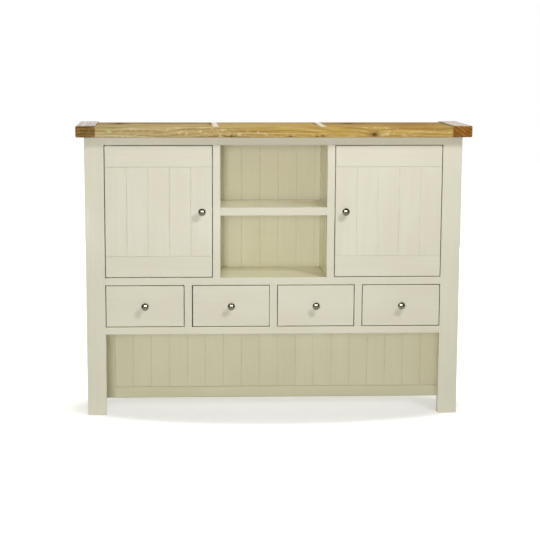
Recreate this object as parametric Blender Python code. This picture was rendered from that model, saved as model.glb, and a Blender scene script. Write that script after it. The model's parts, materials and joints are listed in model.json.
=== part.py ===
"""A painted highboard with an oak top: two boarded doors, an open niche, four drawers and an open bay below.

Metres, +Z up, with the front towards -Y. The origin is on the floor, under the middle of the oak top.
"""

import math
from typing import NamedTuple

import bmesh
import bpy
from mathutils import Matrix, Vector

# Clearances: between two pieces that seat on each other, and round an inset door or drawer front
SEAT = 0.0003
INSET_GAP = 0.0025

# Oak top
TOP_WIDTH = 1.406
TOP_DEPTH = 0.346
TOP_THICKNESS = 0.0365
TOP_SIDE_OVERHANG = 0.0285
TOP_FRONT_OVERHANG = 0.040
TOP_ROUNDING = 0.003
CAP_WIDTH = 0.0688
CAP_PROUD = 0.0045
CAP_ROUNDING = 0.005
TOP_TONGUE_LENGTH = 0.018
TOP_TONGUE_THICKNESS = 0.012
TOP_TONGUE_STOP = 0.030

# Heights of the front, from the floor up to the underside of the oak top
BAY_HEIGHT = 0.2975
BOTTOM_RAIL_HEIGHT = 0.0268
DRAWER_OPENING_HEIGHT = 0.1528
MIDDLE_RAIL_HEIGHT = 0.0274
DOOR_OPENING_HEIGHT = 0.4755
TOP_RAIL_HEIGHT = 0.029

# Posts, rails and partitions
POST_WIDTH = 0.0687
FRAME_DEPTH = 0.034
EDGE_EASING = 0.0012
TENON_LENGTH = 0.020
TENON_THICKNESS = 0.010
TENON_SHOULDER = 0.005
NICHE_WIDTH = 0.383
NICHE_PARTITION_THICKNESS = 0.0275
DRAWER_COUNT = 4
DRAWER_PARTITION_THICKNESS = 0.027
DRAWER_PARTITION_SPACING = 0.308

# Side panels, floors and shelves
SIDE_THICKNESS = 0.018
SIDE_INSET = 0.002
SIDE_TONGUE_LENGTH = 0.008
SIDE_TONGUE_THICKNESS = 0.006
FLOOR_THICKNESS = 0.018
FLOOR_TONGUE_LENGTH = 0.008
FLOOR_TONGUE_THICKNESS = 0.006
HOUSING_DEPTH = 0.006
NICHE_SHELF_THICKNESS = 0.029
NICHE_HOUSING_STOP = 0.020
CUPBOARD_SHELF_THICKNESS = 0.018
CUPBOARD_SHELF_SETBACK = 0.060
GUIDE_WIDTH = 0.022
GUIDE_HEIGHT = 0.030

# Back boards and the foot rail under them
BACK_BOARD_THICKNESS = 0.010
BACK_BOARD_WIDTH = 0.06865
BACK_REBATE_WIDTH = 0.009
BACK_GROOVE_WIDTH = 0.0030
BACK_GROOVE_DEPTH = 0.0018
FOOT_RAIL_HEIGHT = 0.042
FOOT_RAIL_THICKNESS = 0.012
FOOT_RAIL_JOINT = 0.0009
FOOT_RAIL_EASING = 0.0022

# Doors
DOOR_THICKNESS = 0.020
DOOR_BOARD_COUNT = 5
CLAMP_HEIGHT = 0.0755
DOOR_GROOVE_WIDTH = 0.0028
DOOR_GROOVE_DEPTH = 0.0015
DOOR_EASING = 0.0012
CLAMP_TONGUE_LENGTH = 0.010
CLAMP_TONGUE_THICKNESS = 0.007
CLAMP_TONGUE_STOP = 0.025
DOOR_KNOB_INSET = 0.0365

# Door pivots and catches
PIVOT_INSET = 0.016
PIVOT_DEPTH = 0.008
PIN_RADIUS = 0.003
PIN_FLANGE_RADIUS = 0.006
PIN_HOLD = 0.012
PIN_REACH = 0.014
PIN_SIDES = 16
CATCH_WIDTH = 0.014
CATCH_DEPTH = 0.012
CATCH_HEIGHT = 0.044
CATCH_DROP = 0.080
CATCH_EASING = 0.0015
CATCH_FOOT_WIDTH = 0.002
CATCH_FOOT_HEIGHT = 0.062

# Drawers
DRAWER_FRONT_THICKNESS = 0.020
DRAWER_SIDE_THICKNESS = 0.012
DRAWER_SIDE_HEIGHT = 0.130
DRAWER_BACK_THICKNESS = 0.012
DRAWER_BACK_DROP = 0.006
DRAWER_BACK_SPACE = 0.012
DRAWER_BOTTOM_THICKNESS = 0.006
DRAWER_BOTTOM_RAISE = 0.010
DRAWER_GROOVE_DEPTH = 0.005
TAIL_COUNT = 3
TAIL_LENGTH = 0.012
TAIL_ROOT_WIDTH = 0.018
TAIL_FLARE = 0.0025
TAIL_MARGIN = 0.006

# Drawers that stand to one side of their opening, by number, within their side play
DRAWER_SET_OVER = {2: 0.001}

# Turned knobs
KNOB_RADIUS = 0.0136
KNOB_PROJECTION = 0.0265
KNOB_RIM_ROUNDING = 0.0022
KNOB_FACE_RISE = 0.0048
KNOB_NECK_RADIUS = 0.0056
KNOB_NECK_REACH = 0.0065
KNOB_FOOT_RADIUS = 0.0095
KNOB_FOOT_THICKNESS = 0.0025
KNOB_SPIGOT_RADIUS = 0.004
KNOB_SPIGOT_LENGTH = 0.008
KNOB_SIDES = 24
KNOB_ARC_STEPS = 5

# How far a joined or cut shape runs past the face that it is joined to or cut from
OVERLAP = 0.002

# Levels, worked out from the heights above
Z_BAY = BAY_HEIGHT
Z_DRAWER_LOW = Z_BAY + BOTTOM_RAIL_HEIGHT
Z_DRAWER_HIGH = Z_DRAWER_LOW + DRAWER_OPENING_HEIGHT
Z_DOOR_LOW = Z_DRAWER_HIGH + MIDDLE_RAIL_HEIGHT
Z_DOOR_HIGH = Z_DOOR_LOW + DOOR_OPENING_HEIGHT
Z_DOOR_MIDDLE = (Z_DOOR_LOW + Z_DOOR_HIGH) / 2
Z_TOP = Z_DOOR_HIGH + TOP_RAIL_HEIGHT

# Planes from front to back
Y_FRONT = TOP_FRONT_OVERHANG - TOP_DEPTH / 2
Y_FRAME_BACK = Y_FRONT + FRAME_DEPTH
Y_FRAME_MIDDLE = Y_FRONT + FRAME_DEPTH / 2
Y_BACK = TOP_DEPTH / 2
Y_BOARDS = Y_BACK - BACK_BOARD_THICKNESS

# Distances from the middle plane to the sides
X_CARCASS = TOP_WIDTH / 2 - TOP_SIDE_OVERHANG
X_POST = X_CARCASS - POST_WIDTH
X_SIDE_OUTER = X_CARCASS - SIDE_INSET
X_SIDE_INNER = X_SIDE_OUTER - SIDE_THICKNESS
X_NICHE = NICHE_WIDTH / 2
X_CUPBOARD = X_NICHE + NICHE_PARTITION_THICKNESS

# The two sides of the highboard
SIDES = {"left": -1, "right": 1}

# Low and high level of each rail of the front frame
RAILS = {
    "top_rail": (Z_DOOR_HIGH, Z_TOP - SEAT),
    "middle_rail": (Z_DRAWER_HIGH, Z_DOOR_LOW),
    "bottom_rail": (Z_BAY, Z_DRAWER_LOW),
}


class Box(NamedTuple):
    """Two opposite corners of an upright block."""

    low: tuple
    high: tuple

    def grown(self, margin):
        """The same block with a margin added on every side."""
        low = tuple(value - margin for value in self.low)
        high = tuple(value + margin for value in self.high)
        return Box(low, high)


def finish(name, colour, roughness, metallic=0.0):
    """A plain material with one colour."""
    material = bpy.data.materials.new(name)
    material.use_nodes = True
    shader = material.node_tree.nodes["Principled BSDF"]
    shader.inputs["Base Color"].default_value = (*colour, 1.0)
    shader.inputs["Roughness"].default_value = roughness
    shader.inputs["Metallic"].default_value = metallic
    return material


def clear_scene():
    """Remove every object that the file holds."""
    for obj in list(bpy.data.objects):
        bpy.data.objects.remove(obj)


def add_object(name, shape, material):
    """Put a finished bmesh into the scene as a named object."""
    bmesh.ops.recalc_face_normals(shape, faces=shape.faces)
    mesh = bpy.data.meshes.new(name)
    shape.to_mesh(mesh)
    shape.free()
    mesh.materials.append(material)
    obj = bpy.data.objects.new(name, mesh)
    bpy.context.scene.collection.objects.link(obj)
    return obj


def lies_at(edge, x):
    """Whether an edge lies in the upright plane at an X."""
    return all(abs(vert.co.x - x) < SEAT for vert in edge.verts)


def block(name, box, material, easing=0.0, segments=1, sharp_ends=()):
    """A board with its edges eased, apart from those round the ends, given by their X, that stay sharp."""
    low, high = Vector(box.low), Vector(box.high)
    placing = Matrix.Translation((low + high) / 2) @ Matrix.Diagonal((*(high - low), 1.0))
    shape = bmesh.new()
    bmesh.ops.create_cube(shape, size=1.0, matrix=placing)
    if easing:
        edges = [edge for edge in shape.edges if not any(lies_at(edge, x) for x in sharp_ends)]
        bmesh.ops.bevel(shape, geom=edges, offset=easing, segments=segments, profile=0.5, affect="EDGES")
    return add_object(name, shape, material)


def outline_point(axis, point, along):
    """A point of a flat outline, at a distance along the axis that the outline is extruded on."""
    u, v = point
    return Vector({"X": (along, u, v), "Y": (u, along, v), "Z": (u, v, along)}[axis])


def prism(name, outline, axis, start, end, material, front_easing=0.0):
    """A flat outline extruded along one axis, with the edges of its foremost plane eased."""
    shape = bmesh.new()
    face = shape.faces.new([shape.verts.new(outline_point(axis, point, start)) for point in outline])
    pushed = bmesh.ops.extrude_face_region(shape, geom=[face])["geom"]
    moved = [item for item in pushed if isinstance(item, bmesh.types.BMVert)]
    bmesh.ops.translate(shape, verts=moved, vec=outline_point(axis, (0, 0), end - start))
    if front_easing:
        foremost = min(vert.co.y for vert in shape.verts)
        reach = foremost + SEAT
        edges = [edge for edge in shape.edges if max(vert.co.y for vert in edge.verts) < reach]
        bmesh.ops.bevel(shape, geom=edges, offset=front_easing, segments=1, profile=0.5, affect="EDGES")
    return add_object(name, shape, material)


def turned(name, profile, centre, axis, material, sides):
    """A profile of (radius, distance along the axis) turned right round the axis through a centre."""
    axis = Vector(axis)
    across = axis.orthogonal().normalized()
    shape = bmesh.new()
    verts = [shape.verts.new(Vector(centre) + across * radius + axis * along) for radius, along in profile]
    edges = [shape.edges.new(pair) for pair in zip(verts, verts[1:])]
    bmesh.ops.spin(
        shape, geom=verts + edges, cent=centre, axis=axis, angle=math.tau, steps=sides, use_merge=True
    )
    bmesh.ops.remove_doubles(shape, verts=shape.verts, dist=1e-6)
    obj = add_object(name, shape, material)
    obj.data.shade_smooth()
    obj.data.set_sharp_from_angle(angle=math.radians(35))
    return obj


def combine(piece, tool, operation):
    """Cut a tool from a piece, or join it on, and take the tool away."""
    modifier = piece.modifiers.new(operation, "BOOLEAN")
    modifier.operation = operation
    modifier.solver = "EXACT"
    modifier.object = tool
    bpy.context.view_layer.update()
    graph = bpy.context.evaluated_depsgraph_get()
    mesh = bpy.data.meshes.new_from_object(piece.evaluated_get(graph))
    piece.modifiers.clear()
    piece.data = mesh
    bpy.data.objects.remove(tool)


def cut_box(piece, box):
    """Cut a block out of a piece."""
    combine(piece, block("cutter", box, piece.data.materials[0]), "DIFFERENCE")


def join_box(piece, box):
    """Join a block to a piece."""
    combine(piece, block("addition", box, piece.data.materials[0]), "UNION")


def bore(piece, centre, axis, radius, depth):
    """Drill a round blind hole from a point on a face, along an axis that leads out of it."""
    profile = [(0.0, OVERLAP), (radius, OVERLAP), (radius, -depth), (0.0, -depth)]
    drill = turned("drill", profile, centre, axis, piece.data.materials[0], PIN_SIDES)
    combine(piece, drill, "DIFFERENCE")


def across(side, inner, outer):
    """The low and high X of a span on one side, given as distances from the middle plane."""
    return sorted((side * inner, side * outer))


def carrier(name, centre, pieces):
    """An empty on a joint's axis that carries the pieces that move with it."""
    empty = bpy.data.objects.new(name, None)
    empty.location = centre
    bpy.context.scene.collection.objects.link(empty)
    for piece in pieces:
        piece.parent = empty
        piece.location = -Vector(centre)


# Oak top


def top_tongue(side):
    """The stopped tongue at one end of the field, which fits into an end cap."""
    joint = TOP_WIDTH / 2 - CAP_WIDTH
    low_x, high_x = across(side, joint - OVERLAP, joint + TOP_TONGUE_LENGTH)
    half_depth = TOP_DEPTH / 2 - TOP_TONGUE_STOP
    middle = Z_TOP + TOP_THICKNESS / 2
    low = (low_x, -half_depth, middle - TOP_TONGUE_THICKNESS / 2)
    high = (high_x, half_depth, middle + TOP_TONGUE_THICKNESS / 2)
    return Box(low, high)


def make_top(oak, cap_finishes):
    """The field of edge-glued oak and the two end caps that it is tongued into."""
    joint = TOP_WIDTH / 2 - CAP_WIDTH
    half_depth = TOP_DEPTH / 2
    low = (-joint + SEAT, -half_depth, Z_TOP)
    high = (joint - SEAT, half_depth, Z_TOP + TOP_THICKNESS)
    field = block("top_field", Box(low, high), oak, TOP_ROUNDING, 2, (low[0], high[0]))
    for word, side in SIDES.items():
        join_box(field, top_tongue(side))
        low_x, high_x = across(side, joint, TOP_WIDTH / 2)
        low = (low_x, -half_depth, Z_TOP)
        high = (high_x, half_depth, Z_TOP + TOP_THICKNESS + CAP_PROUD)
        box = Box(low, high)
        cap = block(f"top_end_cap_{word}", box, cap_finishes[word], CAP_ROUNDING, 3, (side * joint,))
        cut_box(cap, top_tongue(side).grown(SEAT))


# Front frame


def tenon(rail, side):
    """The stub tenon at one end of a rail."""
    low_z, high_z = RAILS[rail]
    low_x, high_x = across(side, X_POST - SEAT - OVERLAP, X_POST + TENON_LENGTH)
    low = (low_x, Y_FRAME_MIDDLE - TENON_THICKNESS / 2, low_z + TENON_SHOULDER)
    high = (high_x, Y_FRAME_MIDDLE + TENON_THICKNESS / 2, high_z - TENON_SHOULDER)
    return Box(low, high)


def side_tongue_middle(side):
    """The X of the middle of a side panel, where its tongue is."""
    return side * (X_SIDE_OUTER + X_SIDE_INNER) / 2


def make_posts(paint):
    """The two front posts, mortised for the rails and grooved for the side panels."""
    for word, side in SIDES.items():
        low_x, high_x = across(side, X_POST, X_CARCASS)
        box = Box((low_x, Y_FRONT, 0.0), (high_x, Y_FRAME_BACK, Z_TOP - SEAT))
        post = block(f"front_post_{word}", box, paint, EDGE_EASING, 2)
        for rail in RAILS:
            cut_box(post, tenon(rail, side).grown(SEAT))
        middle = side_tongue_middle(side)
        low = (middle - SIDE_TONGUE_THICKNESS / 2, Y_FRAME_BACK - SIDE_TONGUE_LENGTH, -OVERLAP)
        high = (middle + SIDE_TONGUE_THICKNESS / 2, Y_FRAME_BACK + OVERLAP, Z_TOP + OVERLAP)
        cut_box(post, Box(low, high).grown(SEAT))


def floor_tongue(top_level):
    """The tongue along the front of a floor whose upper face is at a level."""
    middle = top_level - FLOOR_THICKNESS / 2
    half_width = X_POST - HOUSING_DEPTH
    low = (-half_width, Y_FRAME_BACK - FLOOR_TONGUE_LENGTH, middle - FLOOR_TONGUE_THICKNESS / 2)
    high = (half_width, Y_FRAME_BACK + SEAT + OVERLAP, middle + FLOOR_TONGUE_THICKNESS / 2)
    return Box(low, high)


def pivot_places():
    """The X of each door's pivot axis, by side."""
    return {word: side * (X_POST - INSET_GAP - PIVOT_INSET) for word, side in SIDES.items()}


def make_rails(paint):
    """The three rails, tenoned into the posts, with the grooves and bores that they hold."""
    half_width = X_POST - SEAT
    y_pivot = Y_FRONT + PIVOT_DEPTH
    for name, (low_z, high_z) in RAILS.items():
        box = Box((-half_width, Y_FRONT, low_z), (half_width, Y_FRAME_BACK, high_z))
        rail = block(name, box, paint, EDGE_EASING)
        for side in SIDES.values():
            join_box(rail, tenon(name, side))
        if name == "middle_rail":
            cut_box(rail, floor_tongue(Z_DOOR_LOW).grown(SEAT))
        if name == "bottom_rail":
            cut_box(rail, floor_tongue(Z_DRAWER_LOW).grown(SEAT))
        for x_pivot in pivot_places().values():
            if name == "top_rail":
                mouth = (x_pivot, y_pivot, Z_DOOR_HIGH)
                bore(rail, mouth, (0, 0, -1), PIN_RADIUS + SEAT, PIN_HOLD + SEAT)
            if name == "middle_rail":
                mouth = (x_pivot, y_pivot, Z_DOOR_LOW)
                bore(rail, mouth, (0, 0, 1), PIN_RADIUS + SEAT, PIN_HOLD + SEAT)


# Sides, floors, partitions and shelves


def shelf_levels(thickness):
    """Low and high level of a shelf at the middle of the niche and the cupboards."""
    return Z_DOOR_MIDDLE - thickness / 2, Z_DOOR_MIDDLE + thickness / 2


def floor_box(top_level):
    """A floor board, from the frame to the back boards and housed into both side panels."""
    half_width = X_SIDE_INNER + HOUSING_DEPTH - SEAT
    low = (-half_width, Y_FRAME_BACK + SEAT, top_level - FLOOR_THICKNESS)
    high = (half_width, Y_BOARDS - SEAT, top_level)
    return Box(low, high)


def cupboard_shelf_box(side):
    """A cupboard shelf, housed into the side panel and the niche partition."""
    low_z, high_z = shelf_levels(CUPBOARD_SHELF_THICKNESS)
    inner = X_CUPBOARD - HOUSING_DEPTH + SEAT
    low_x, high_x = across(side, inner, X_SIDE_INNER + HOUSING_DEPTH - SEAT)
    low = (low_x, Y_FRONT + CUPBOARD_SHELF_SETBACK, low_z)
    high = (high_x, Y_BOARDS - SEAT, high_z)
    return Box(low, high)


def niche_shelf_outline(margin):
    """Plan of the niche shelf: flush at the front, and wider behind the stops of its housings."""
    narrow = X_NICHE - SEAT + margin
    wide = X_NICHE + HOUSING_DEPTH - SEAT + margin
    front, stop = Y_FRONT - margin, Y_FRONT + NICHE_HOUSING_STOP - margin
    back = Y_BOARDS - SEAT + margin
    half = [(narrow, front), (narrow, stop), (wide, stop), (wide, back)]
    return half + [(-x, y) for x, y in reversed(half)]


def side_outline(side):
    """Plan of a side panel: a tongue at the front and a rebate for the back boards."""
    middle = (X_SIDE_OUTER + X_SIDE_INNER) / 2
    tongue = SIDE_TONGUE_THICKNESS / 2
    front, tip = Y_FRAME_BACK + SEAT, Y_FRAME_BACK - SIDE_TONGUE_LENGTH
    rebate = X_SIDE_INNER + BACK_REBATE_WIDTH
    points = [
        (X_SIDE_INNER, front),
        (middle - tongue, front),
        (middle - tongue, tip),
        (middle + tongue, tip),
        (middle + tongue, front),
        (X_SIDE_OUTER, front),
        (X_SIDE_OUTER, Y_BACK),
        (rebate, Y_BACK),
        (rebate, Y_BOARDS - SEAT),
        (X_SIDE_INNER, Y_BOARDS - SEAT),
    ]
    return [(side * x, y) for x, y in points]


def make_sides(paint):
    """The two side panels, with housings for the floors and the cupboard shelves."""
    for word, side in SIDES.items():
        panel = prism(f"side_panel_{word}", side_outline(side), "Z", 0.0, Z_TOP - SEAT, paint)
        for housed in (floor_box(Z_DOOR_LOW), floor_box(Z_DRAWER_LOW), cupboard_shelf_box(side)):
            cut_box(panel, housed.grown(SEAT))


def make_floors(paint):
    """The cupboard floor, and the drawer floor with its guide strips for the outer drawers."""
    for name, level in {"cupboard_floor": Z_DOOR_LOW, "drawer_floor": Z_DRAWER_LOW}.items():
        board = block(name, floor_box(level), paint)
        join_box(board, floor_tongue(level))
        if name == "drawer_floor":
            for side in SIDES.values():
                low_x, high_x = across(side, X_POST, X_POST + GUIDE_WIDTH)
                low = (low_x, Y_FRAME_BACK + SEAT, level - OVERLAP)
                high = (high_x, Y_BOARDS - SEAT, level + GUIDE_HEIGHT)
                join_box(board, Box(low, high))


def make_niche(paint):
    """The two niche partitions, the shelf housed between them, and a shelf in each cupboard."""
    low_z, high_z = shelf_levels(NICHE_SHELF_THICKNESS)
    outline = [
        (Y_FRONT, Z_DOOR_LOW + SEAT),
        (Y_BOARDS - SEAT, Z_DOOR_LOW + SEAT),
        (Y_BOARDS - SEAT, Z_TOP - SEAT),
        (Y_FRAME_BACK + SEAT, Z_TOP - SEAT),
        (Y_FRAME_BACK + SEAT, Z_DOOR_HIGH - SEAT),
        (Y_FRONT, Z_DOOR_HIGH - SEAT),
    ]
    for word, side in SIDES.items():
        low_x, high_x = across(side, X_NICHE, X_CUPBOARD)
        wall = prism(f"niche_partition_{word}", outline, "X", low_x, high_x, paint, EDGE_EASING)
        cutter_outline = niche_shelf_outline(SEAT)
        cutter = prism("cutter", cutter_outline, "Z", low_z - SEAT, high_z + SEAT, paint)
        combine(wall, cutter, "DIFFERENCE")
        cut_box(wall, cupboard_shelf_box(side).grown(SEAT))
        block(f"cupboard_shelf_{word}", cupboard_shelf_box(side), paint, EDGE_EASING)
    prism("niche_shelf", niche_shelf_outline(0.0), "Z", low_z, high_z, paint, EDGE_EASING)


def partition_span(number):
    """The low and high X of a drawer partition, counted from the left."""
    middle = (number - DRAWER_COUNT / 2) * DRAWER_PARTITION_SPACING
    return middle - DRAWER_PARTITION_THICKNESS / 2, middle + DRAWER_PARTITION_THICKNESS / 2


def make_drawer_partitions(paint):
    """The partitions between the drawers, which also carry the cupboard floor."""
    floor_low = Z_DOOR_LOW - FLOOR_THICKNESS - SEAT
    outline = [
        (Y_FRONT, Z_DRAWER_LOW + SEAT),
        (Y_BOARDS - SEAT, Z_DRAWER_LOW + SEAT),
        (Y_BOARDS - SEAT, floor_low),
        (Y_FRAME_BACK + SEAT, floor_low),
        (Y_FRAME_BACK + SEAT, Z_DRAWER_HIGH - SEAT),
        (Y_FRONT, Z_DRAWER_HIGH - SEAT),
    ]
    for number in range(1, DRAWER_COUNT):
        low_x, high_x = partition_span(number)
        prism(f"drawer_partition_{number}", outline, "X", low_x, high_x, paint, EDGE_EASING)


# Back


def boarded_outline(low_x, high_x, front, back, grooves, width, depth, easing):
    """Plan of a panel of boards: a V groove at each joint of the front face, and eased front corners."""
    points = [(low_x, front + easing), (low_x + easing, front)]
    for x in grooves:
        points += [(x - width / 2, front), (x, front + depth), (x + width / 2, front)]
    return points + [(high_x - easing, front), (high_x, front + easing), (high_x, back), (low_x, back)]


def make_back(paint):
    """The back boards, in the rebates of the sides, and the foot rail that they stand on."""
    half_width = X_SIDE_INNER + BACK_REBATE_WIDTH - SEAT
    joints = int(half_width / BACK_BOARD_WIDTH + 0.5)
    grooves = [(number + 0.5) * BACK_BOARD_WIDTH for number in range(-joints, joints)]
    inside = [x for x in grooves if abs(x) < X_SIDE_INNER - BACK_GROOVE_WIDTH / 2]
    outline = boarded_outline(
        -half_width, half_width, Y_BOARDS, Y_BACK, inside, BACK_GROOVE_WIDTH, BACK_GROOVE_DEPTH, SEAT
    )
    prism("back_boards", outline, "Z", FOOT_RAIL_HEIGHT + FOOT_RAIL_JOINT, Z_TOP - SEAT, paint)
    between = X_SIDE_INNER - SEAT
    half = [
        (between, Y_BACK - FOOT_RAIL_THICKNESS),
        (between, Y_BOARDS),
        (half_width, Y_BOARDS),
        (half_width, Y_BACK),
    ]
    plan = half + [(-x, y) for x, y in reversed(half)]
    prism("back_foot_rail", plan, "Z", 0.0, FOOT_RAIL_HEIGHT, paint, FOOT_RAIL_EASING)


# Turned knobs


def knob_profile():
    """Half section of a knob: spigot, foot, hollowed neck, rounded rim and domed face."""
    rim_middle = KNOB_PROJECTION - KNOB_FACE_RISE - KNOB_RIM_ROUNDING
    face_radius = KNOB_RADIUS - KNOB_RIM_ROUNDING
    points = [
        (0.0, -KNOB_SPIGOT_LENGTH),
        (KNOB_SPIGOT_RADIUS, -KNOB_SPIGOT_LENGTH),
        (KNOB_SPIGOT_RADIUS, SEAT),
        (KNOB_FOOT_RADIUS, SEAT),
        (KNOB_FOOT_RADIUS, SEAT + KNOB_FOOT_THICKNESS),
    ]
    steps = [step / KNOB_ARC_STEPS for step in range(KNOB_ARC_STEPS + 1)]
    flare = face_radius - KNOB_NECK_RADIUS
    rise = rim_middle - KNOB_RIM_ROUNDING - KNOB_NECK_REACH
    for step in steps:
        angle = step * math.pi / 2
        radius = KNOB_NECK_RADIUS + flare * (1 - math.cos(angle))
        points.append((radius, KNOB_NECK_REACH + rise * math.sin(angle)))
    for step in steps[1:]:
        angle = (step - 0.5) * math.pi
        radius = face_radius + KNOB_RIM_ROUNDING * math.cos(angle)
        points.append((radius, rim_middle + KNOB_RIM_ROUNDING * math.sin(angle)))
    for step in steps[1:]:
        points.append((face_radius * (1 - step), KNOB_PROJECTION - KNOB_FACE_RISE * (1 - step) ** 2))
    return points


def make_knob(name, x, z, metal):
    """A knob on the front plane."""
    return turned(name, knob_profile(), (x, Y_FRONT, z), (0, -1, 0), metal, KNOB_SIDES)


def bore_for_knob(piece, x, z):
    """The blind hole that a knob's spigot fits into."""
    radius, depth = KNOB_SPIGOT_RADIUS + SEAT, KNOB_SPIGOT_LENGTH + SEAT
    bore(piece, (x, Y_FRONT, z), (0, -1, 0), radius, depth)


# Doors


def clamp_tongue(low_x, high_x, joint, upwards):
    """The stopped tongue at one end of a door's boards, which fits into a clamp."""
    middle = Y_FRONT + DOOR_THICKNESS / 2
    low_z, high_z = sorted((joint - upwards * OVERLAP, joint + upwards * CLAMP_TONGUE_LENGTH))
    low = (low_x + CLAMP_TONGUE_STOP, middle - CLAMP_TONGUE_THICKNESS / 2, low_z)
    high = (high_x - CLAMP_TONGUE_STOP, middle + CLAMP_TONGUE_THICKNESS / 2, high_z)
    return Box(low, high)


def make_pivot(name, x, gap_low, gap_high, rail_above, steel):
    """A pivot pin with a flange in the gap between a rail and a door."""
    below, above = (PIN_REACH, PIN_HOLD) if rail_above else (PIN_HOLD, PIN_REACH)
    profile = [
        (0.0, gap_low - below),
        (PIN_RADIUS, gap_low - below),
        (PIN_RADIUS, gap_low + SEAT),
        (PIN_FLANGE_RADIUS, gap_low + SEAT),
        (PIN_FLANGE_RADIUS, gap_high - SEAT),
        (PIN_RADIUS, gap_high - SEAT),
        (PIN_RADIUS, gap_high + above),
        (0.0, gap_high + above),
    ]
    turned(name, profile, (x, Y_FRONT + PIVOT_DEPTH, 0.0), (0, 0, 1), steel, PIN_SIDES)


def make_catch(word, side, steel):
    """A magnetic catch on the niche partition, which is also the door's stop."""
    middle = Z_DOOR_HIGH - CATCH_DROP
    low_y = Y_FRONT + DOOR_THICKNESS + SEAT
    inner = X_CUPBOARD + SEAT
    low_x, high_x = across(side, inner, inner + CATCH_WIDTH)
    body_low = (low_x, low_y, middle - CATCH_HEIGHT / 2)
    body_high = (high_x, low_y + CATCH_DEPTH, middle + CATCH_HEIGHT / 2)
    catch = block(f"door_catch_{word}", Box(body_low, body_high), steel, CATCH_EASING)
    low_x, high_x = across(side, inner, inner + CATCH_FOOT_WIDTH)
    foot_low = (low_x, low_y + SEAT, middle - CATCH_FOOT_HEIGHT / 2)
    foot_high = (high_x, low_y + CATCH_DEPTH - SEAT, middle + CATCH_FOOT_HEIGHT / 2)
    join_box(catch, Box(foot_low, foot_high))


def make_door(word, side, paint, metal, steel):
    """A door of upright boards between two clamps, with its knob, pivots and catch."""
    low_x, high_x = across(side, X_CUPBOARD + INSET_GAP, X_POST - INSET_GAP)
    low_z, high_z = Z_DOOR_LOW + INSET_GAP, Z_DOOR_HIGH - INSET_GAP
    low_joint, high_joint = low_z + CLAMP_HEIGHT, high_z - CLAMP_HEIGHT
    back = Y_FRONT + DOOR_THICKNESS
    board = (high_x - low_x) / DOOR_BOARD_COUNT
    grooves = [low_x + board * number for number in range(1, DOOR_BOARD_COUNT)]
    outline = boarded_outline(
        low_x, high_x, Y_FRONT, back, grooves, DOOR_GROOVE_WIDTH, DOOR_GROOVE_DEPTH, DOOR_EASING
    )
    panel = prism(f"door_boards_{word}", outline, "Z", low_joint + SEAT, high_joint - SEAT, paint)
    x_pivot = pivot_places()[word]
    y_pivot = Y_FRONT + PIVOT_DEPTH
    ends = {"top": (high_joint, high_z, 1), "bottom": (low_joint, low_z, -1)}
    pieces = [panel]
    for end, (joint, edge, upwards) in ends.items():
        low, high = sorted((joint, edge))
        clamp = block(
            f"door_{end}_clamp_{word}", Box((low_x, Y_FRONT, low), (high_x, back, high)), paint, DOOR_EASING
        )
        tongue = clamp_tongue(low_x, high_x, joint - upwards * SEAT, upwards)
        join_box(panel, tongue)
        cut_box(clamp, tongue.grown(SEAT))
        bore(clamp, (x_pivot, y_pivot, edge), (0, 0, upwards), PIN_RADIUS + SEAT, PIN_REACH + SEAT)
        pieces.append(clamp)
    x_knob = side * (X_CUPBOARD + INSET_GAP + DOOR_KNOB_INSET)
    bore_for_knob(panel, x_knob, Z_DOOR_MIDDLE)
    pieces.append(make_knob(f"door_knob_{word}", x_knob, Z_DOOR_MIDDLE, metal))
    carrier(f"{word}_door_axis", (x_pivot, y_pivot, Z_DOOR_MIDDLE), pieces)
    make_pivot(f"door_pivot_upper_{word}", x_pivot, high_z, Z_DOOR_HIGH, True, steel)
    make_pivot(f"door_pivot_lower_{word}", x_pivot, Z_DOOR_LOW, low_z, False, steel)
    make_catch(word, side, steel)


# Drawers


def tail_outline(root_y, tip_y, middle, margin=0.0, before=0.0, beyond=0.0):
    """One dovetail, seen from the side, wider at its tip.

    A socket has a margin on both slopes, and runs a little before the root and beyond the tip.
    """
    outwards = 1 if tip_y > root_y else -1
    slope = TAIL_FLARE / abs(tip_y - root_y)
    root = TAIL_ROOT_WIDTH / 2 + margin - slope * before
    tip = TAIL_ROOT_WIDTH / 2 + TAIL_FLARE + margin + slope * beyond
    low_y, high_y = root_y - outwards * before, tip_y + outwards * beyond
    return [(low_y, middle - root), (high_y, middle - tip), (high_y, middle + tip), (low_y, middle + root)]


def tail_middles(low, high):
    """Levels of the dovetails, spread evenly between two levels."""
    step = (high - low) / TAIL_COUNT
    return [low + step * (number + 0.5) for number in range(TAIL_COUNT)]


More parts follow.
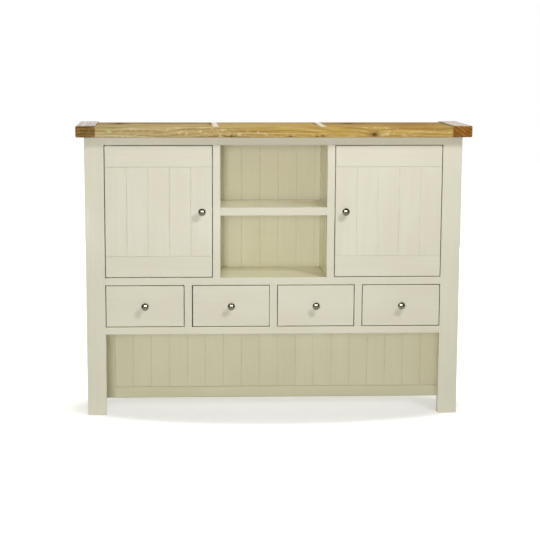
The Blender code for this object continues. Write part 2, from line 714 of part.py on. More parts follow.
def make_drawer(number, paint, wood, metal):
    """A drawer: a front and a back dovetailed to two sides, a bottom in grooves, and a knob."""
    opening_low = -X_POST if number == 1 else partition_span(number - 1)[1]
    opening_high = X_POST if number == DRAWER_COUNT else partition_span(number)[0]
    middle_x = (opening_low + opening_high) / 2 + DRAWER_SET_OVER.get(number, 0.0)
    half_front = (opening_high - opening_low) / 2 - INSET_GAP
    inner = half_front - DRAWER_SIDE_THICKNESS
    front_back = Y_FRONT + DRAWER_FRONT_THICKNESS
    end = Y_BOARDS - DRAWER_BACK_SPACE
    back_front = end - DRAWER_BACK_THICKNESS
    low_z = Z_DRAWER_LOW + SEAT
    high_z = low_z + DRAWER_SIDE_HEIGHT
    bottom_low = low_z + DRAWER_BOTTOM_RAISE
    bottom_high = bottom_low + DRAWER_BOTTOM_THICKNESS
    back_low, back_high = bottom_high + SEAT, high_z - DRAWER_BACK_DROP
    tails = tail_middles(back_low + TAIL_MARGIN, back_high - TAIL_MARGIN)
    tail_tip = front_back - TAIL_LENGTH

    bottom_box = Box(
        (middle_x - inner - DRAWER_GROOVE_DEPTH + SEAT, front_back - DRAWER_GROOVE_DEPTH + SEAT, bottom_low),
        (middle_x + inner + DRAWER_GROOVE_DEPTH - SEAT, end, bottom_high),
    )
    bottom = block(f"drawer_bottom_{number}", bottom_box, wood)
    front_box = Box(
        (middle_x - half_front, Y_FRONT, Z_DRAWER_LOW + INSET_GAP),
        (middle_x + half_front, front_back, Z_DRAWER_HIGH - INSET_GAP),
    )
    front = block(f"drawer_front_{number}", front_box, paint, DOOR_EASING)
    cut_box(front, bottom_box.grown(SEAT))
    back_box = Box((middle_x - half_front, back_front, back_low), (middle_x + half_front, end, back_high))
    back = block(f"drawer_back_{number}", back_box, wood)

    root_front, root_back = front_back + SEAT, back_front - SEAT
    outline = [(root_front, low_z), (end, low_z), (end, bottom_high), (root_back, bottom_high)]
    for level in tails:
        outline += tail_outline(root_back, end, level)
    outline += [(root_back, high_z), (root_front, high_z)]
    for level in reversed(tails):
        outline += reversed(tail_outline(root_front, tail_tip, level))
    pieces = [front, back, bottom]
    for word, side in SIDES.items():
        low_x, high_x = sorted((middle_x + side * inner, middle_x + side * half_front))
        board = prism(f"drawer_side_{word}_{number}", outline, "X", low_x, high_x, wood)
        cut_box(board, bottom_box.grown(SEAT))
        cutter_ends = (middle_x + side * (inner - SEAT), middle_x + side * (half_front + OVERLAP))
        cutter_low, cutter_high = sorted(cutter_ends)
        for level in tails:
            socket = tail_outline(root_front, tail_tip, level, SEAT, OVERLAP, SEAT)
            combine(front, prism("socket", socket, "X", cutter_low, cutter_high, wood), "DIFFERENCE")
            socket = tail_outline(root_back, end, level, SEAT, OVERLAP, OVERLAP)
            combine(back, prism("socket", socket, "X", cutter_low, cutter_high, wood), "DIFFERENCE")
        pieces.append(board)
    z_knob = (Z_DRAWER_LOW + Z_DRAWER_HIGH) / 2
    bore_for_knob(front, middle_x, z_knob)
    pieces.append(make_knob(f"drawer_knob_{number}", middle_x, z_knob, metal))
    carrier(f"drawer_{number}_axis", (middle_x, Y_FRONT, z_knob), pieces)


def main():
    """Build the whole highboard."""
    clear_scene()
    paint = finish("cream_paint", (0.74, 0.69, 0.58), 0.45)
    oak = finish("honey_oak", (0.52, 0.31, 0.13), 0.4)
    caps = {
        "left": finish("dark_oak_cap", (0.20, 0.11, 0.05), 0.4),
        "right": finish("red_oak_cap", (0.30, 0.14, 0.06), 0.4),
    }
    wood = finish("pale_drawer_wood", (0.70, 0.55, 0.36), 0.6)
    metal = finish("brushed_nickel", (0.60, 0.58, 0.54), 0.35, 1.0)
    steel = finish("zinc_steel", (0.55, 0.55, 0.56), 0.4, 1.0)
    make_top(oak, caps)
    make_posts(paint)
    make_rails(paint)
    make_sides(paint)
    make_floors(paint)
    make_niche(paint)
    make_drawer_partitions(paint)
    make_back(paint)
    for word, side in SIDES.items():
        make_door(word, side, paint, metal, steel)
    for number in range(1, DRAWER_COUNT + 1):
        make_drawer(number, paint, wood, metal)


main()
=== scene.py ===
"""Looks of a cream painted highboard with a rustic oak top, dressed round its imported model.

Metres, +Z up, the front faces -Y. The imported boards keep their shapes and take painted, oak, pale
wood and metal finishes. The oak field, the knobs, the small fixings and the paint that bridges the
joints of the front frame are modelled here.
"""

from __future__ import annotations

import json
import logging
import math
from dataclasses import dataclass, field, replace
from enum import Enum

import bmesh
import bpy
from mathutils import Euler, Matrix, Vector, noise

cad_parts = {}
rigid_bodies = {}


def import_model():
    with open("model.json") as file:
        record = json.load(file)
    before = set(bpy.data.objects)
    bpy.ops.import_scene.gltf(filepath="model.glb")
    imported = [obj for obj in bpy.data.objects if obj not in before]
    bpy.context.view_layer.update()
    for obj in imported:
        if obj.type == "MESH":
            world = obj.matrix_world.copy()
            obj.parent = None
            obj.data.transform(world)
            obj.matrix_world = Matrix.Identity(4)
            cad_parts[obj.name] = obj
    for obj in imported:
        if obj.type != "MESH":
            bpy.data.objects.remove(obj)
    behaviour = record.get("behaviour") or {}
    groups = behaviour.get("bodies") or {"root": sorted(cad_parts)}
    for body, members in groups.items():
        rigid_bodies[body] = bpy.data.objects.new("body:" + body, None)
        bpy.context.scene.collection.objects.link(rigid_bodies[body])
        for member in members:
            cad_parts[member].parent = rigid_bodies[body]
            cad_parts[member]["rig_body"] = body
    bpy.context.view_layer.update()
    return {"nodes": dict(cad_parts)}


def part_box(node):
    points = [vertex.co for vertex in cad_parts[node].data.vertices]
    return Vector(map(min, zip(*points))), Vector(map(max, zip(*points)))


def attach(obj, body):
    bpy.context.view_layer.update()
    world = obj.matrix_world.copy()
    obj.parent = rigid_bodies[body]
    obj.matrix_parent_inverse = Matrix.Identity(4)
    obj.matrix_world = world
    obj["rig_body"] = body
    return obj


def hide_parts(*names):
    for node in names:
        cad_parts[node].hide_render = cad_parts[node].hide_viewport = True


LOG = logging.getLogger("highboard")
IMAGE_SIDE = 540
SMOOTH_ANGLE = 40.0
ARRIS_SAMPLES = 6
OAK_NAMES = ("oak_", "top_end_cap", "top_field")
STAVE_ATTRIBUTE = "stave"
DEPTH_ATTRIBUTE = "stave_depth"

Pair = tuple[float, float]
Point = tuple[float, float, float]
Colour = tuple[float, float, float, float]
Form = bmesh.types.BMesh
Mesh = bpy.types.Mesh
Object = bpy.types.Object
Material = bpy.types.Material
NodeTree = bpy.types.NodeTree
Node = bpy.types.Node
Outputs = bpy.types.bpy_prop_collection
Socket = bpy.types.NodeSocket
Feed = bpy.types.NodeSocket | float | tuple

WHITE: Colour = (1.0, 1.0, 1.0, 1.0)
BACKWARD = Vector((0.0, 1.0, 0.0))
# Ranges that hold much and most of the values of a noise.
NOISE_CORE: Pair = (0.35, 0.65)
NOISE_RANGE: Pair = (0.3, 0.7)


class Axis(Enum):
    """Direction of a board's grain, as the order of coordinates along, across and through it."""

    X = "XYZ"
    Y = "YXZ"
    Z = "ZXY"


class Side(Enum):
    """Left or right half of the highboard, by its word in the nodes' names."""

    LEFT = "left"
    RIGHT = "right"


def tone(red: int, green: int, blue: int) -> Colour:
    """Turn a display colour into the linear colour that a shader takes.

    Args:
        red: Red from 0 to 255.
        green: Green from 0 to 255.
        blue: Blue from 0 to 255.

    Returns:
        The linear colour with full alpha.
    """
    linear = []
    for level in (red, green, blue):
        share = level / 255
        linear.append(share / 12.92 if share <= 0.04045 else ((share + 0.055) / 1.055) ** 2.4)
    return (linear[0], linear[1], linear[2], 1.0)


class Graph:
    """Adds nodes to one node tree and joins them."""

    def __init__(self, tree: NodeTree) -> None:
        """Keep the tree that the nodes go into."""
        self.tree = tree

    def add(self, kind: str, **settings: object) -> Node:
        """Add one node.

        Args:
            kind: Blender's name for the kind of node.
            settings: Properties to set on the node.

        Returns:
            The new node.
        """
        node = self.tree.nodes.new(kind)
        for name, value in settings.items():
            setattr(node, name, value)
        return node

    def feed(self, socket: Socket, value: Feed) -> None:
        """Join an output to an input, or set the input's own value.

        Args:
            socket: The input to feed.
            value: An output socket or a plain value.
        """
        if isinstance(value, bpy.types.NodeSocket):
            self.tree.links.new(value, socket)
        else:
            socket.default_value = value

    def wire(self, node: Node, **values: Feed) -> Outputs:
        """Feed several inputs of a node.

        Args:
            node: The node.
            values: Feeds by input name, with _ for a space.

        Returns:
            The node's outputs.
        """
        for name, value in values.items():
            self.feed(node.inputs[name.replace("_", " ")], value)
        return node.outputs

    def place(self, group: NodeTree, **values: Feed) -> Outputs:
        """Place a node group, feed its inputs by name and return its outputs."""
        return self.wire(self.add("ShaderNodeGroup", node_tree=group), **values)

    def math(self, operation: str, first: Feed, second: Feed = 0.0, third: Feed = 0.0) -> Socket:
        """Work out one number.

        Args:
            operation: Blender's name for the operation.
            first: First number.
            second: Second number, where the operation has one.
            third: Third number, where the operation has one.

        Returns:
            The result's socket.
        """
        node = self.add("ShaderNodeMath", operation=operation)
        for socket, value in zip(node.inputs, (first, second, third)):
            self.feed(socket, value)
        return node.outputs[0]

    def total(self, *parts: tuple[Socket, float]) -> Socket:
        """Add up numbers, each by its share.

        Args:
            parts: The numbers with their shares.

        Returns:
            The total's socket.
        """
        result = self.math("MULTIPLY", *parts[0])
        for value, share in parts[1:]:
            result = self.math("MULTIPLY_ADD", value, share, result)
        return result

    def vector(self, operation: str, first: Feed, second: Feed = (0.0, 0.0, 0.0)) -> Socket:
        """Work on vectors.

        Args:
            operation: Blender's name for the operation.
            first: First vector.
            second: Second vector, where the operation has one.

        Returns:
            The result's socket, a number for a length or a dot product and a vector otherwise.
        """
        node = self.add("ShaderNodeVectorMath", operation=operation)
        self.feed(node.inputs[0], first)
        self.feed(node.inputs[1], second)
        return node.outputs["Value" if operation in ("LENGTH", "DOT_PRODUCT") else "Vector"]

    def split(self, vector: Feed) -> Outputs:
        """Coordinates of a vector, by the letters X, Y and Z."""
        return self.wire(self.add("ShaderNodeSeparateXYZ"), Vector=vector)

    def join(self, x: Feed, y: Feed, z: Feed) -> Socket:
        """Vector with these coordinates."""
        return self.wire(self.add("ShaderNodeCombineXYZ"), X=x, Y=y, Z=z)[0]

    def rest(self) -> Socket:
        """Coordinates of a piece at rest, in metres."""
        return self.add("ShaderNodeTexCoord").outputs["Object"]

    def board(self, axis: Axis) -> Socket:
        """Coordinates of a board at rest, as along, across and through its grain."""
        place = self.split(self.rest())
        return self.join(*(place[letter] for letter in axis.value))

    def cloud(
        self, vector: Feed, along: float, across: float, detail: float = 2.0, warp: float = 0.0
    ) -> Socket:
        """Noise from 0 to 1, drawn out along the grain.

        Args:
            vector: Coordinates in metres.
            along: Waves per metre along the grain.
            across: Waves per metre across and through it.
            detail: Finer layers of the noise.
            warp: How far the noise is bent by itself.

        Returns:
            The noise's socket.
        """
        drawn = self.vector("MULTIPLY", vector, (along, across, across))
        node = self.add("ShaderNodeTexNoise")
        return self.wire(node, Vector=drawn, Scale=1.0, Detail=detail, Distortion=warp)[0]

    def stray(self, value: Feed, by: Feed, wave: Socket) -> Socket:
        """Move a value to and fro with noise, over the whole range that by gives."""
        return self.math("MULTIPLY_ADD", self.math("SUBTRACT", wave, 0.5), by, value)

    def span(self, value: Feed, start: Feed, end: Feed, low: float = 0.0, high: float = 1.0) -> Socket:
        """Ease a value smoothly from one range to another.

        Args:
            value: The value.
            start: Value that gives low.
            end: Value that gives high.
            low: Result at start.
            high: Result at end.

        Returns:
            The result's socket.
        """
        node = self.add("ShaderNodeMapRange", interpolation_type="SMOOTHSTEP")
        return self.wire(node, Value=value, From_Min=start, From_Max=end, To_Min=low, To_Max=high)["Result"]

    def blend(
        self, share: Feed, under: Feed, over: Feed, strength: float = 1.0, kind: str = "MIX"
    ) -> Socket:
        """Lay one colour over another.

        Args:
            share: Share of the upper colour, from 0 to 1.
            under: Lower colour.
            over: Upper colour.
            strength: Factor on the share.
            kind: Blender's name for the way of mixing.

        Returns:
            The colour's socket.
        """
        if strength != 1.0:
            share = self.math("MULTIPLY", share, strength)
        node = self.add("ShaderNodeMix", data_type="RGBA", blend_type=kind)
        colours = [socket for socket in node.inputs if socket.type == "RGBA"]
        for socket, value in zip((node.inputs[0], *colours), (share, under, over)):
            self.feed(socket, value)
        return next(socket for socket in node.outputs if socket.type == "RGBA")

    def tint(self, share: Feed, colour: Feed, factors: Colour) -> Socket:
        """Colour that takes on the factors by a share."""
        return self.blend(share, colour, factors, kind="MULTIPLY")

    def steps(self, value: Feed, places: tuple[float, ...], colours: tuple[Colour, ...]) -> Socket:
        """Read a colour from a row of stops.

        Args:
            value: Place along the row, from 0 to 1.
            places: Places of the stops.
            colours: Their colours.

        Returns:
            The colour's socket.
        """
        node = self.add("ShaderNodeValToRGB")
        stops = node.color_ramp.elements
        while len(stops) < len(places):
            stops.new(1.0)
        for stop, place, colour in zip(stops, places, colours):
            stop.position = place
            stop.color = colour
        self.feed(node.inputs[0], value)
        return node.outputs["Color"]


class GroupGraph(Graph):
    """Graph of a shared node group, from its named inputs to its named outputs."""

    def __init__(self, name: str, **inputs: float | None) -> None:
        """Start the group with its inputs.

        Args:
            name: Name of the group.
            inputs: Usual values by input name, with _ for a space, or None for a vector.
        """
        super().__init__(bpy.data.node_groups.new(name, "ShaderNodeTree"))
        for label, usual in inputs.items():
            kind = "NodeSocketVector" if usual is None else "NodeSocketFloat"
            socket = self.tree.interface.new_socket(label.replace("_", " "), in_out="INPUT", socket_type=kind)
            if usual is not None:
                socket.default_value = usual
        self.entry = self.add("NodeGroupInput").outputs

    def close(self, **outputs: Socket) -> NodeTree:
        """Give the group its outputs, which are all numbers.

        Args:
            outputs: What each output takes, by its name.

        Returns:
            The finished group.
        """
        for label in outputs:
            self.tree.interface.new_socket(label, in_out="OUTPUT", socket_type="NodeSocketFloat")
        self.wire(self.add("NodeGroupOutput"), **outputs)
        return self.tree


class MaterialGraph(Graph):
    """Graph of one material round its Principled shader."""

    def __init__(self, name: str) -> None:
        """Start a material.

        Args:
            name: Name of the material.
        """
        self.material = bpy.data.materials.new(name)
        self.material.use_nodes = True
        super().__init__(self.material.node_tree)
        self.shader = self.tree.nodes["Principled BSDF"]
        self.end = self.tree.nodes["Material Output"].inputs["Surface"]

    def surface(
        self, colour: Socket, rough: Socket, height: Feed, relief: float, rounding: float, **values: Feed
    ) -> Material:
        """Feed the shader, with its bump on softened arrises.

        Args:
            colour: Base colour.
            rough: Roughness.
            height: Height over the surface, from 0 to 1.
            relief: Depth of the bump in metres.
            rounding: Radius of the softened arrises in metres.
            values: Other inputs of the shader.

        Returns:
            The material.
        """
        soft = self.wire(self.add("ShaderNodeBevel", samples=ARRIS_SAMPLES), Radius=rounding)[0]
        bump = self.add("ShaderNodeBump")
        normal = self.wire(bump, Strength=1.0, Distance=relief, Height=height, Normal=soft)[0]
        self.wire(self.shader, Base_Color=colour, Roughness=rough, Normal=normal, **values)
        return self.material


def make_grain() -> NodeTree:
    """Year rings, fibres and pores of a sawn board.

    Returns:
        The node group.
    """
    graph = GroupGraph("Board grain", Vector=None, Heart=None, Bend=0.0, Ring_Width=0.007, Wander=0.02)
    vector = graph.entry["Vector"]
    cut = graph.vector("SUBTRACT", vector, graph.entry["Heart"])
    radius = graph.vector("LENGTH", graph.vector("MULTIPLY", cut, (0.0, 1.0, 1.0)))
    drift = graph.cloud(vector, along=1.6, across=7.0, detail=3.0)
    radius = graph.stray(radius, graph.entry["Wander"], drift)
    turns = graph.math("DIVIDE", radius, graph.entry["Ring Width"])
    turns = graph.math("ADD", turns, graph.entry["Bend"])
    wave = graph.math("SINE", graph.math("MULTIPLY", turns, math.tau))
    rings = graph.math("POWER", graph.math("MULTIPLY_ADD", wave, 0.5, 0.5), 1.7)
    streak = graph.cloud(vector, along=2.6, across=150.0)
    fine = graph.cloud(vector, along=9.0, across=520.0)
    pores = graph.cloud(vector, along=45.0, across=1300.0, detail=1.0)
    slow = graph.cloud(vector, along=1.4, across=9.0)
    mottle = graph.cloud(vector, along=4.0, across=48.0, detail=3.0)
    return graph.close(
        Rings=rings,
        Fibre=graph.total((streak, 0.6), (fine, 0.4)),
        Pores=graph.span(pores, 0.60, 0.72),
        Cloud=graph.total((mottle, 0.55), (slow, 0.45)),
    )


def make_knot() -> NodeTree:
    """One knot, with the grain that flows round it.

    Returns:
        The node group.
    """
    graph = GroupGraph("Knot", Vector=None, Centre=None, Radius=0.004, Squeeze=0.5)
    away = graph.vector("SUBTRACT", graph.entry["Vector"], graph.entry["Centre"])
    squeezed = graph.vector("MULTIPLY", away, graph.join(graph.entry["Squeeze"], 1.0, 1.0))
    reach = graph.math("DIVIDE", graph.vector("LENGTH", squeezed), graph.entry["Radius"])
    reach = graph.stray(reach, 0.9, graph.cloud(graph.entry["Vector"], along=180.0, across=260.0))
    return graph.close(
        Core=graph.span(reach, 1.35, 0.15, high=0.9),
        Halo=graph.span(reach, 3.4, 0.8),
        Bend=graph.span(reach, 6.0, 0.0, high=0.9),
    )


def make_flecks() -> NodeTree:
    """Pale ray flecks that lie in patches, aslant to the grain.

    Returns:
        The node group.
    """
    graph = GroupGraph("Ray flecks", Vector=None, Slant=0.4, Amount=0.5)
    turned = graph.add("ShaderNodeVectorRotate", rotation_type="Z_AXIS")
    aslant = graph.wire(turned, Vector=graph.entry["Vector"], Angle=graph.entry["Slant"])[0]
    dashes = graph.span(graph.cloud(aslant, along=30.0, across=120.0, warp=0.4), 0.50, 0.72)
    patches = graph.cloud(graph.entry["Vector"], along=5.0, across=22.0, detail=1.0)
    shown = graph.math("MULTIPLY", dashes, graph.span(patches, 0.46, 0.66))
    return graph.close(Mask=graph.math("MULTIPLY", shown, graph.entry["Amount"]))


def make_wear_and_shade() -> NodeTree:
    """Arrises lightened as wear and painted highlights, and hollows darkened by their own occlusion as
    settled dirt and painted shade.

    Returns:
        The node group.
    """
    graph = GroupGraph("Edge wear", Vector=None, Width=0.002, Depth=0.008)
    bevel = graph.add("ShaderNodeBevel", samples=ARRIS_SAMPLES)
    rounded = graph.wire(bevel, Radius=graph.entry["Width"])[0]
    flat = graph.add("ShaderNodeNewGeometry").outputs["Normal"]
    edge = graph.span(graph.vector("DOT_PRODUCT", rounded, flat), 0.995, 0.86)
    broken = graph.span(graph.cloud(graph.entry["Vector"], along=28.0, across=90.0, detail=3.0), 0.40, 0.62)
    # Hollows within reach of the piece's own occlusion get darker: settled dirt and painted shade.
    hollow = graph.add("ShaderNodeAmbientOcclusion", samples=ARRIS_SAMPLES, only_local=True)
    open_share = graph.wire(hollow, Distance=graph.entry["Depth"])["AO"]
    # Lightened arrises: worn paint and painted highlights along the edges.
    rubbed = graph.math("MULTIPLY", edge, broken)
    return graph.close(Rubbed=rubbed, Settled=graph.span(open_share, 0.92, 0.45))


def make_film() -> NodeTree:
    """A brushed coat of paint: brush lines, slow unevenness and the board's grain below.

    Returns:
        The node group.
    """
    graph = GroupGraph("Paint film", Vector=None)
    brush = graph.cloud(graph.entry["Vector"], along=9.0, across=520.0)
    grain = graph.cloud(graph.entry["Vector"], along=4.0, across=110.0)
    swell = graph.cloud(graph.entry["Vector"], along=3.0, across=8.0)
    return graph.close(
        Height=graph.total((brush, 0.45), (grain, 0.55)), Tone=graph.total((grain, 0.3), (swell, 0.7))
    )


def make_joints() -> NodeTree:
    """Fine lines of the joints between upright boards, on the face that looks backwards.

    Returns:
        The node group.
    """
    graph = GroupGraph("Board joints", Place=None, Normal=None, Start=0.0, Pitch=0.07, Width=0.0008)
    along = graph.math("SUBTRACT", graph.split(graph.entry["Place"])["X"], graph.entry["Start"])
    wave = graph.math("PINGPONG", along, graph.math("MULTIPLY", graph.entry["Pitch"], 0.5))
    line = graph.span(wave, graph.entry["Width"], 0.0)
    rear = graph.span(graph.split(graph.entry["Normal"])["Y"], 0.5, 0.8)
    return graph.close(Mask=graph.math("MULTIPLY", line, rear))


def make_inner() -> NodeTree:
    """Faces within the carcass: behind its front, before its rear and between its sides, where the paint
    takes painted light.

    Returns:
        The node group.
    """
    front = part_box("front_post_left")[0].y
    side_low, side_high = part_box("side_panel_left")
    graph = GroupGraph("Inner faces", Place=None, Front=front, Rear=side_high.y, Half_Width=-side_low.x)
    place = graph.split(graph.entry["Place"])
    behind = graph.span(graph.math("SUBTRACT", place["Y"], graph.entry["Front"]), 0.002, 0.028)
    before = graph.math("SUBTRACT", graph.entry["Rear"], place["Y"])
    between = graph.math("SUBTRACT", graph.entry["Half Width"], graph.math("ABSOLUTE", place["X"]))
    within = graph.span(graph.math("MINIMUM", before, between), 0.002, 0.007)
    return graph.close(Mask=graph.math("MULTIPLY", behind, within))


def make_turning() -> NodeTree:
    """Fine lines that a lathe or a brush leaves round a turned piece.

    Returns:
        The node group.
    """
    graph = GroupGraph("Turned lines", Vector=None, Pitch=0.0004)
    vector = graph.entry["Vector"]
    radius = graph.vector("LENGTH", graph.vector("MULTIPLY", vector, (1.0, 0.0, 1.0)))
    lines = graph.add("ShaderNodeTexNoise", noise_dimensions="1D")
    height = graph.wire(lines, W=graph.math("DIVIDE", radius, graph.entry["Pitch"]))[0]
    return graph.close(Height=height, Haze=graph.cloud(vector, along=260.0, across=260.0))


@dataclass(frozen=True)
class Effects:
    """Shader node groups that the finishes share, each built once."""

    grain: NodeTree = field(default_factory=make_grain)
    knot: NodeTree = field(default_factory=make_knot)
    flecks: NodeTree = field(default_factory=make_flecks)
    wear: NodeTree = field(default_factory=make_wear_and_shade)
    film: NodeTree = field(default_factory=make_film)
    joints: NodeTree = field(default_factory=make_joints)
    inner: NodeTree = field(default_factory=make_inner)
    turning: NodeTree = field(default_factory=make_turning)


@dataclass(frozen=True)
class BoardJoints:
    """Joints between upright boards: the name of the panel, one joint's X and the boards' width."""

    panel: str
    start: float
    pitch: float


@dataclass(frozen=True)
class PaintFinish:
    """Brushed satin paint on wood."""

    name: str
    coat: Colour
    deep: Colour
    rubbed: Colour
    settled: Colour
    gap: Colour
    recess_light_tint: Colour
    worn_highlight_share: float = 0.9
    dirt_and_shade_share: float = 0.2
    roughness: Pair = (0.20, 0.08)
    relief: float = 0.00012
    groove_depth: float = 3.0
    rounding: float = 0.0012

    def material(self, effects: Effects, axis: Axis, joints: BoardJoints | None = None) -> Material:
        """Make the paint for boards with their grain along one axis.

        Args:
            effects: The shared node groups.
            axis: Direction of the grain.
            joints: Joints that show on the rear face of a boarded panel.

        Returns:
            The material.
        """
        graph = MaterialGraph(f"{self.name}_{joints.panel if joints else axis.name.lower()}")
        board = graph.board(axis)
        film = graph.place(effects.film, Vector=board)
        wear = graph.place(effects.wear, Vector=board)
        whole = graph.add("ShaderNodeTexCoord").outputs
        # Painted light in the recesses: faces within the carcass are tinted brighter and yellower.
        recess_light = graph.place(effects.inner, Place=whole["Object"])["Mask"]
        colour = graph.blend(graph.span(film["Tone"], *NOISE_CORE), self.deep, self.coat)
        colour = graph.tint(recess_light, colour, self.recess_light_tint)
        height = film["Height"]
        if joints:
            sight = {"Place": whole["Object"], "Normal": whole["Normal"]}
            lines = graph.place(effects.joints, **sight, Start=joints.start, Pitch=joints.pitch)["Mask"]
            colour = graph.blend(lines, colour, self.gap)
            height = graph.math("MULTIPLY_ADD", lines, -self.groove_depth, height)
        # Grooves and hollows darkened by occlusion: settled dirt and painted shade.
        colour = graph.blend(wear["Settled"], colour, self.settled, self.dirt_and_shade_share)
        # Arrises lightened towards a near-white colour, for wear and painted highlight.
        colour = graph.blend(wear["Rubbed"], colour, self.rubbed, self.worn_highlight_share)
        rough = graph.span(film["Tone"], *NOISE_RANGE, *self.roughness)
        return graph.surface(colour, rough, height, self.relief, self.rounding)


@dataclass(frozen=True)
class KnotPlace:
    """A knot in the oak top: its place in the frame, its radius and its squeeze along the grain."""

    centre: Point
    radius: float
    squeeze: float = 0.5


@dataclass(frozen=True)
class HeartStreak:
    """A streak of darker heartwood that shows on the front of the oak top."""

    centre: Point
    half_length: float
    half_height: float
    strength: float
    ragged: float = 1.6


@dataclass(frozen=True)
class OakFinish:
    """Oiled rustic oak, from its pale sapwood to its brown year rings.

    Gold and tan are factors on the colour of staves, and only a top of staves has them.
    """

    name: str
    pale: Colour
    middle: Colour
    brown: Colour
    fleck: Colour
    heart: Point
    ring_width: float
    wander: float
    roughness: Pair
    gold: Colour = WHITE
    tan: Colour = WHITE
    knot: Colour = tone(78, 48, 22)
    knots: tuple[KnotPlace, ...] = ()
    streaks: tuple[HeartStreak, ...] = ()
    colour_places: tuple[float, ...] = (0.38, 0.55, 0.78)
    ring_contrast: float = 0.30
    fibre_contrast: float = 0.62
    cloud_contrast: float = 0.46
    pore_share: float = 0.45
    halo_share: float = 0.55
    worn_highlight_share: float = 0.35
    fleck_amount: float = 0.3
    fleck_slant: float = 0.42
    specular: float = 0.5
    relief: float = 0.0003
    pore_depth: float = 0.6
    rounding: float = 0.0012

    def material(self, effects: Effects, axis: Axis) -> Material:
        """Make the oak for boards with their grain along one axis.

        Args:
            effects: The shared node groups.
            axis: Direction of the grain.

        Returns:
            The material.
        """
        graph = MaterialGraph(self.name)
        board = graph.board(axis)
        mark = graph.split(graph.add("ShaderNodeAttribute", attribute_name=STAVE_ATTRIBUTE).outputs["Vector"])
        moved = graph.vector("ADD", board, graph.join(mark["X"], mark["Y"], 0.0))
        bend, core, halo = self.gather_knots(graph, effects, board)
        rings = {"Heart": self.heart, "Bend": bend, "Ring_Width": self.ring_width, "Wander": self.wander}
        grain = graph.place(effects.grain, Vector=moved, **rings)
        flecks = graph.place(effects.flecks, Vector=moved, Slant=self.fleck_slant, Amount=self.fleck_amount)
        wear = graph.place(effects.wear, Vector=board)
        depth = graph.add("ShaderNodeAttribute", attribute_name=DEPTH_ATTRIBUTE).outputs["Fac"]
        mixed = graph.total(
            (grain["Rings"], self.ring_contrast),
            (grain["Fibre"], self.fibre_contrast),
            (grain["Cloud"], self.cloud_contrast - self.ring_contrast / 2),
        )
        colour = graph.steps(mixed, self.colour_places, (self.pale, self.middle, self.brown))
        colour = graph.tint(mark["Z"], colour, self.gold)
        colour = graph.tint(self.gather_streaks(graph, board, depth), colour, self.tan)
        colour = graph.blend(grain["Pores"], colour, self.brown, self.pore_share)
        colour = graph.blend(flecks["Mask"], colour, self.fleck)
        colour = graph.blend(halo, colour, self.brown, self.halo_share)
        colour = graph.blend(core, colour, self.knot)
        colour = graph.blend(wear["Rubbed"], colour, self.pale, self.worn_highlight_share)
        rough = graph.span(grain["Fibre"], *NOISE_RANGE, *self.roughness)
        height = graph.math("MULTIPLY_ADD", grain["Pores"], -self.pore_depth, grain["Fibre"])
        shine = {"Specular_IOR_Level": self.specular}
        return graph.surface(colour, rough, height, self.relief, self.rounding, **shine)

    def gather_streaks(self, graph: Graph, board: Socket, depth: Socket) -> Socket:
        """Lay every heartwood streak over the staves' own depth of colour.

        Args:
            graph: The material's graph.
            board: Coordinates of the board.
            depth: Depth of colour of the staves.

        Returns:
            The depth of colour with the streaks.
        """
        for streak in self.streaks:
            away = graph.vector("SUBTRACT", board, streak.centre)
            drawn = (1 / streak.half_length, 0.0, 1 / streak.half_height)
            reach = graph.vector("LENGTH", graph.vector("MULTIPLY", away, drawn))
            reach = graph.stray(reach, streak.ragged, graph.cloud(board, along=14.0, across=240.0))
            depth = graph.math("MAXIMUM", depth, graph.span(reach, 1.2, 0.3, high=streak.strength))
        return depth

    def gather_knots(self, graph: Graph, effects: Effects, board: Socket) -> tuple[Feed, Feed, Feed]:
        """Place every knot.

        Args:
            graph: The material's graph.
            effects: The shared node groups.
            board: Coordinates of the board.

        Returns:
            How far the grain bends, and the masks of the cores and halos.
        """
        bend, core, halo = 0.0, 0.0, 0.0
        for knot in self.knots:
            size = {"Radius": knot.radius, "Squeeze": knot.squeeze}
            marks = graph.place(effects.knot, Vector=board, Centre=knot.centre, **size)
            bend = graph.math("ADD", marks["Bend"], bend)
            core = graph.math("MAXIMUM", marks["Core"], core)
            halo = graph.math("MAXIMUM", marks["Halo"], halo)
        return bend, core, halo


@dataclass(frozen=True)
class BareWoodFinish:
    """Pale unpainted wood of the drawer boxes, under a thin clear coat."""

    name: str
    pale: Colour
    brown: Colour
    heart: Point = (0.0, 0.03, -0.05)
    ring_width: float = 0.0065
    wander: float = 0.05
    colour_places: tuple[float, ...] = (0.30, 0.85)
    ring_contrast: float = 0.45
    fibre_contrast: float = 0.35
    cloud_contrast: float = 0.35
    worn_highlight_share: float = 0.4
    roughness: Pair = (0.45, 0.59)
    relief: float = 0.0002
    rounding: float = 0.0008

    def material(self, effects: Effects, axis: Axis) -> Material:
        """Make the wood for boards with their grain along one axis.

        Args:
            effects: The shared node groups.
            axis: Direction of the grain.

        Returns:
            The material.
        """
        graph = MaterialGraph(f"{self.name}_{axis.name.lower()}")
        board = graph.board(axis)
        rings = {"Heart": self.heart, "Ring_Width": self.ring_width, "Wander": self.wander}
        grain = graph.place(effects.grain, Vector=board, **rings)
        wear = graph.place(effects.wear, Vector=board)
        mixed = graph.total(
            (grain["Rings"], self.ring_contrast),
            (grain["Fibre"], self.fibre_contrast),
            (grain["Cloud"], self.cloud_contrast),
        )
        colour = graph.steps(mixed, self.colour_places, (self.pale, self.brown))
        colour = graph.blend(wear["Rubbed"], colour, self.pale, self.worn_highlight_share)
        rough = graph.span(grain["Fibre"], *NOISE_RANGE, *self.roughness)
        return graph.surface(colour, rough, grain["Fibre"], self.relief, self.rounding)


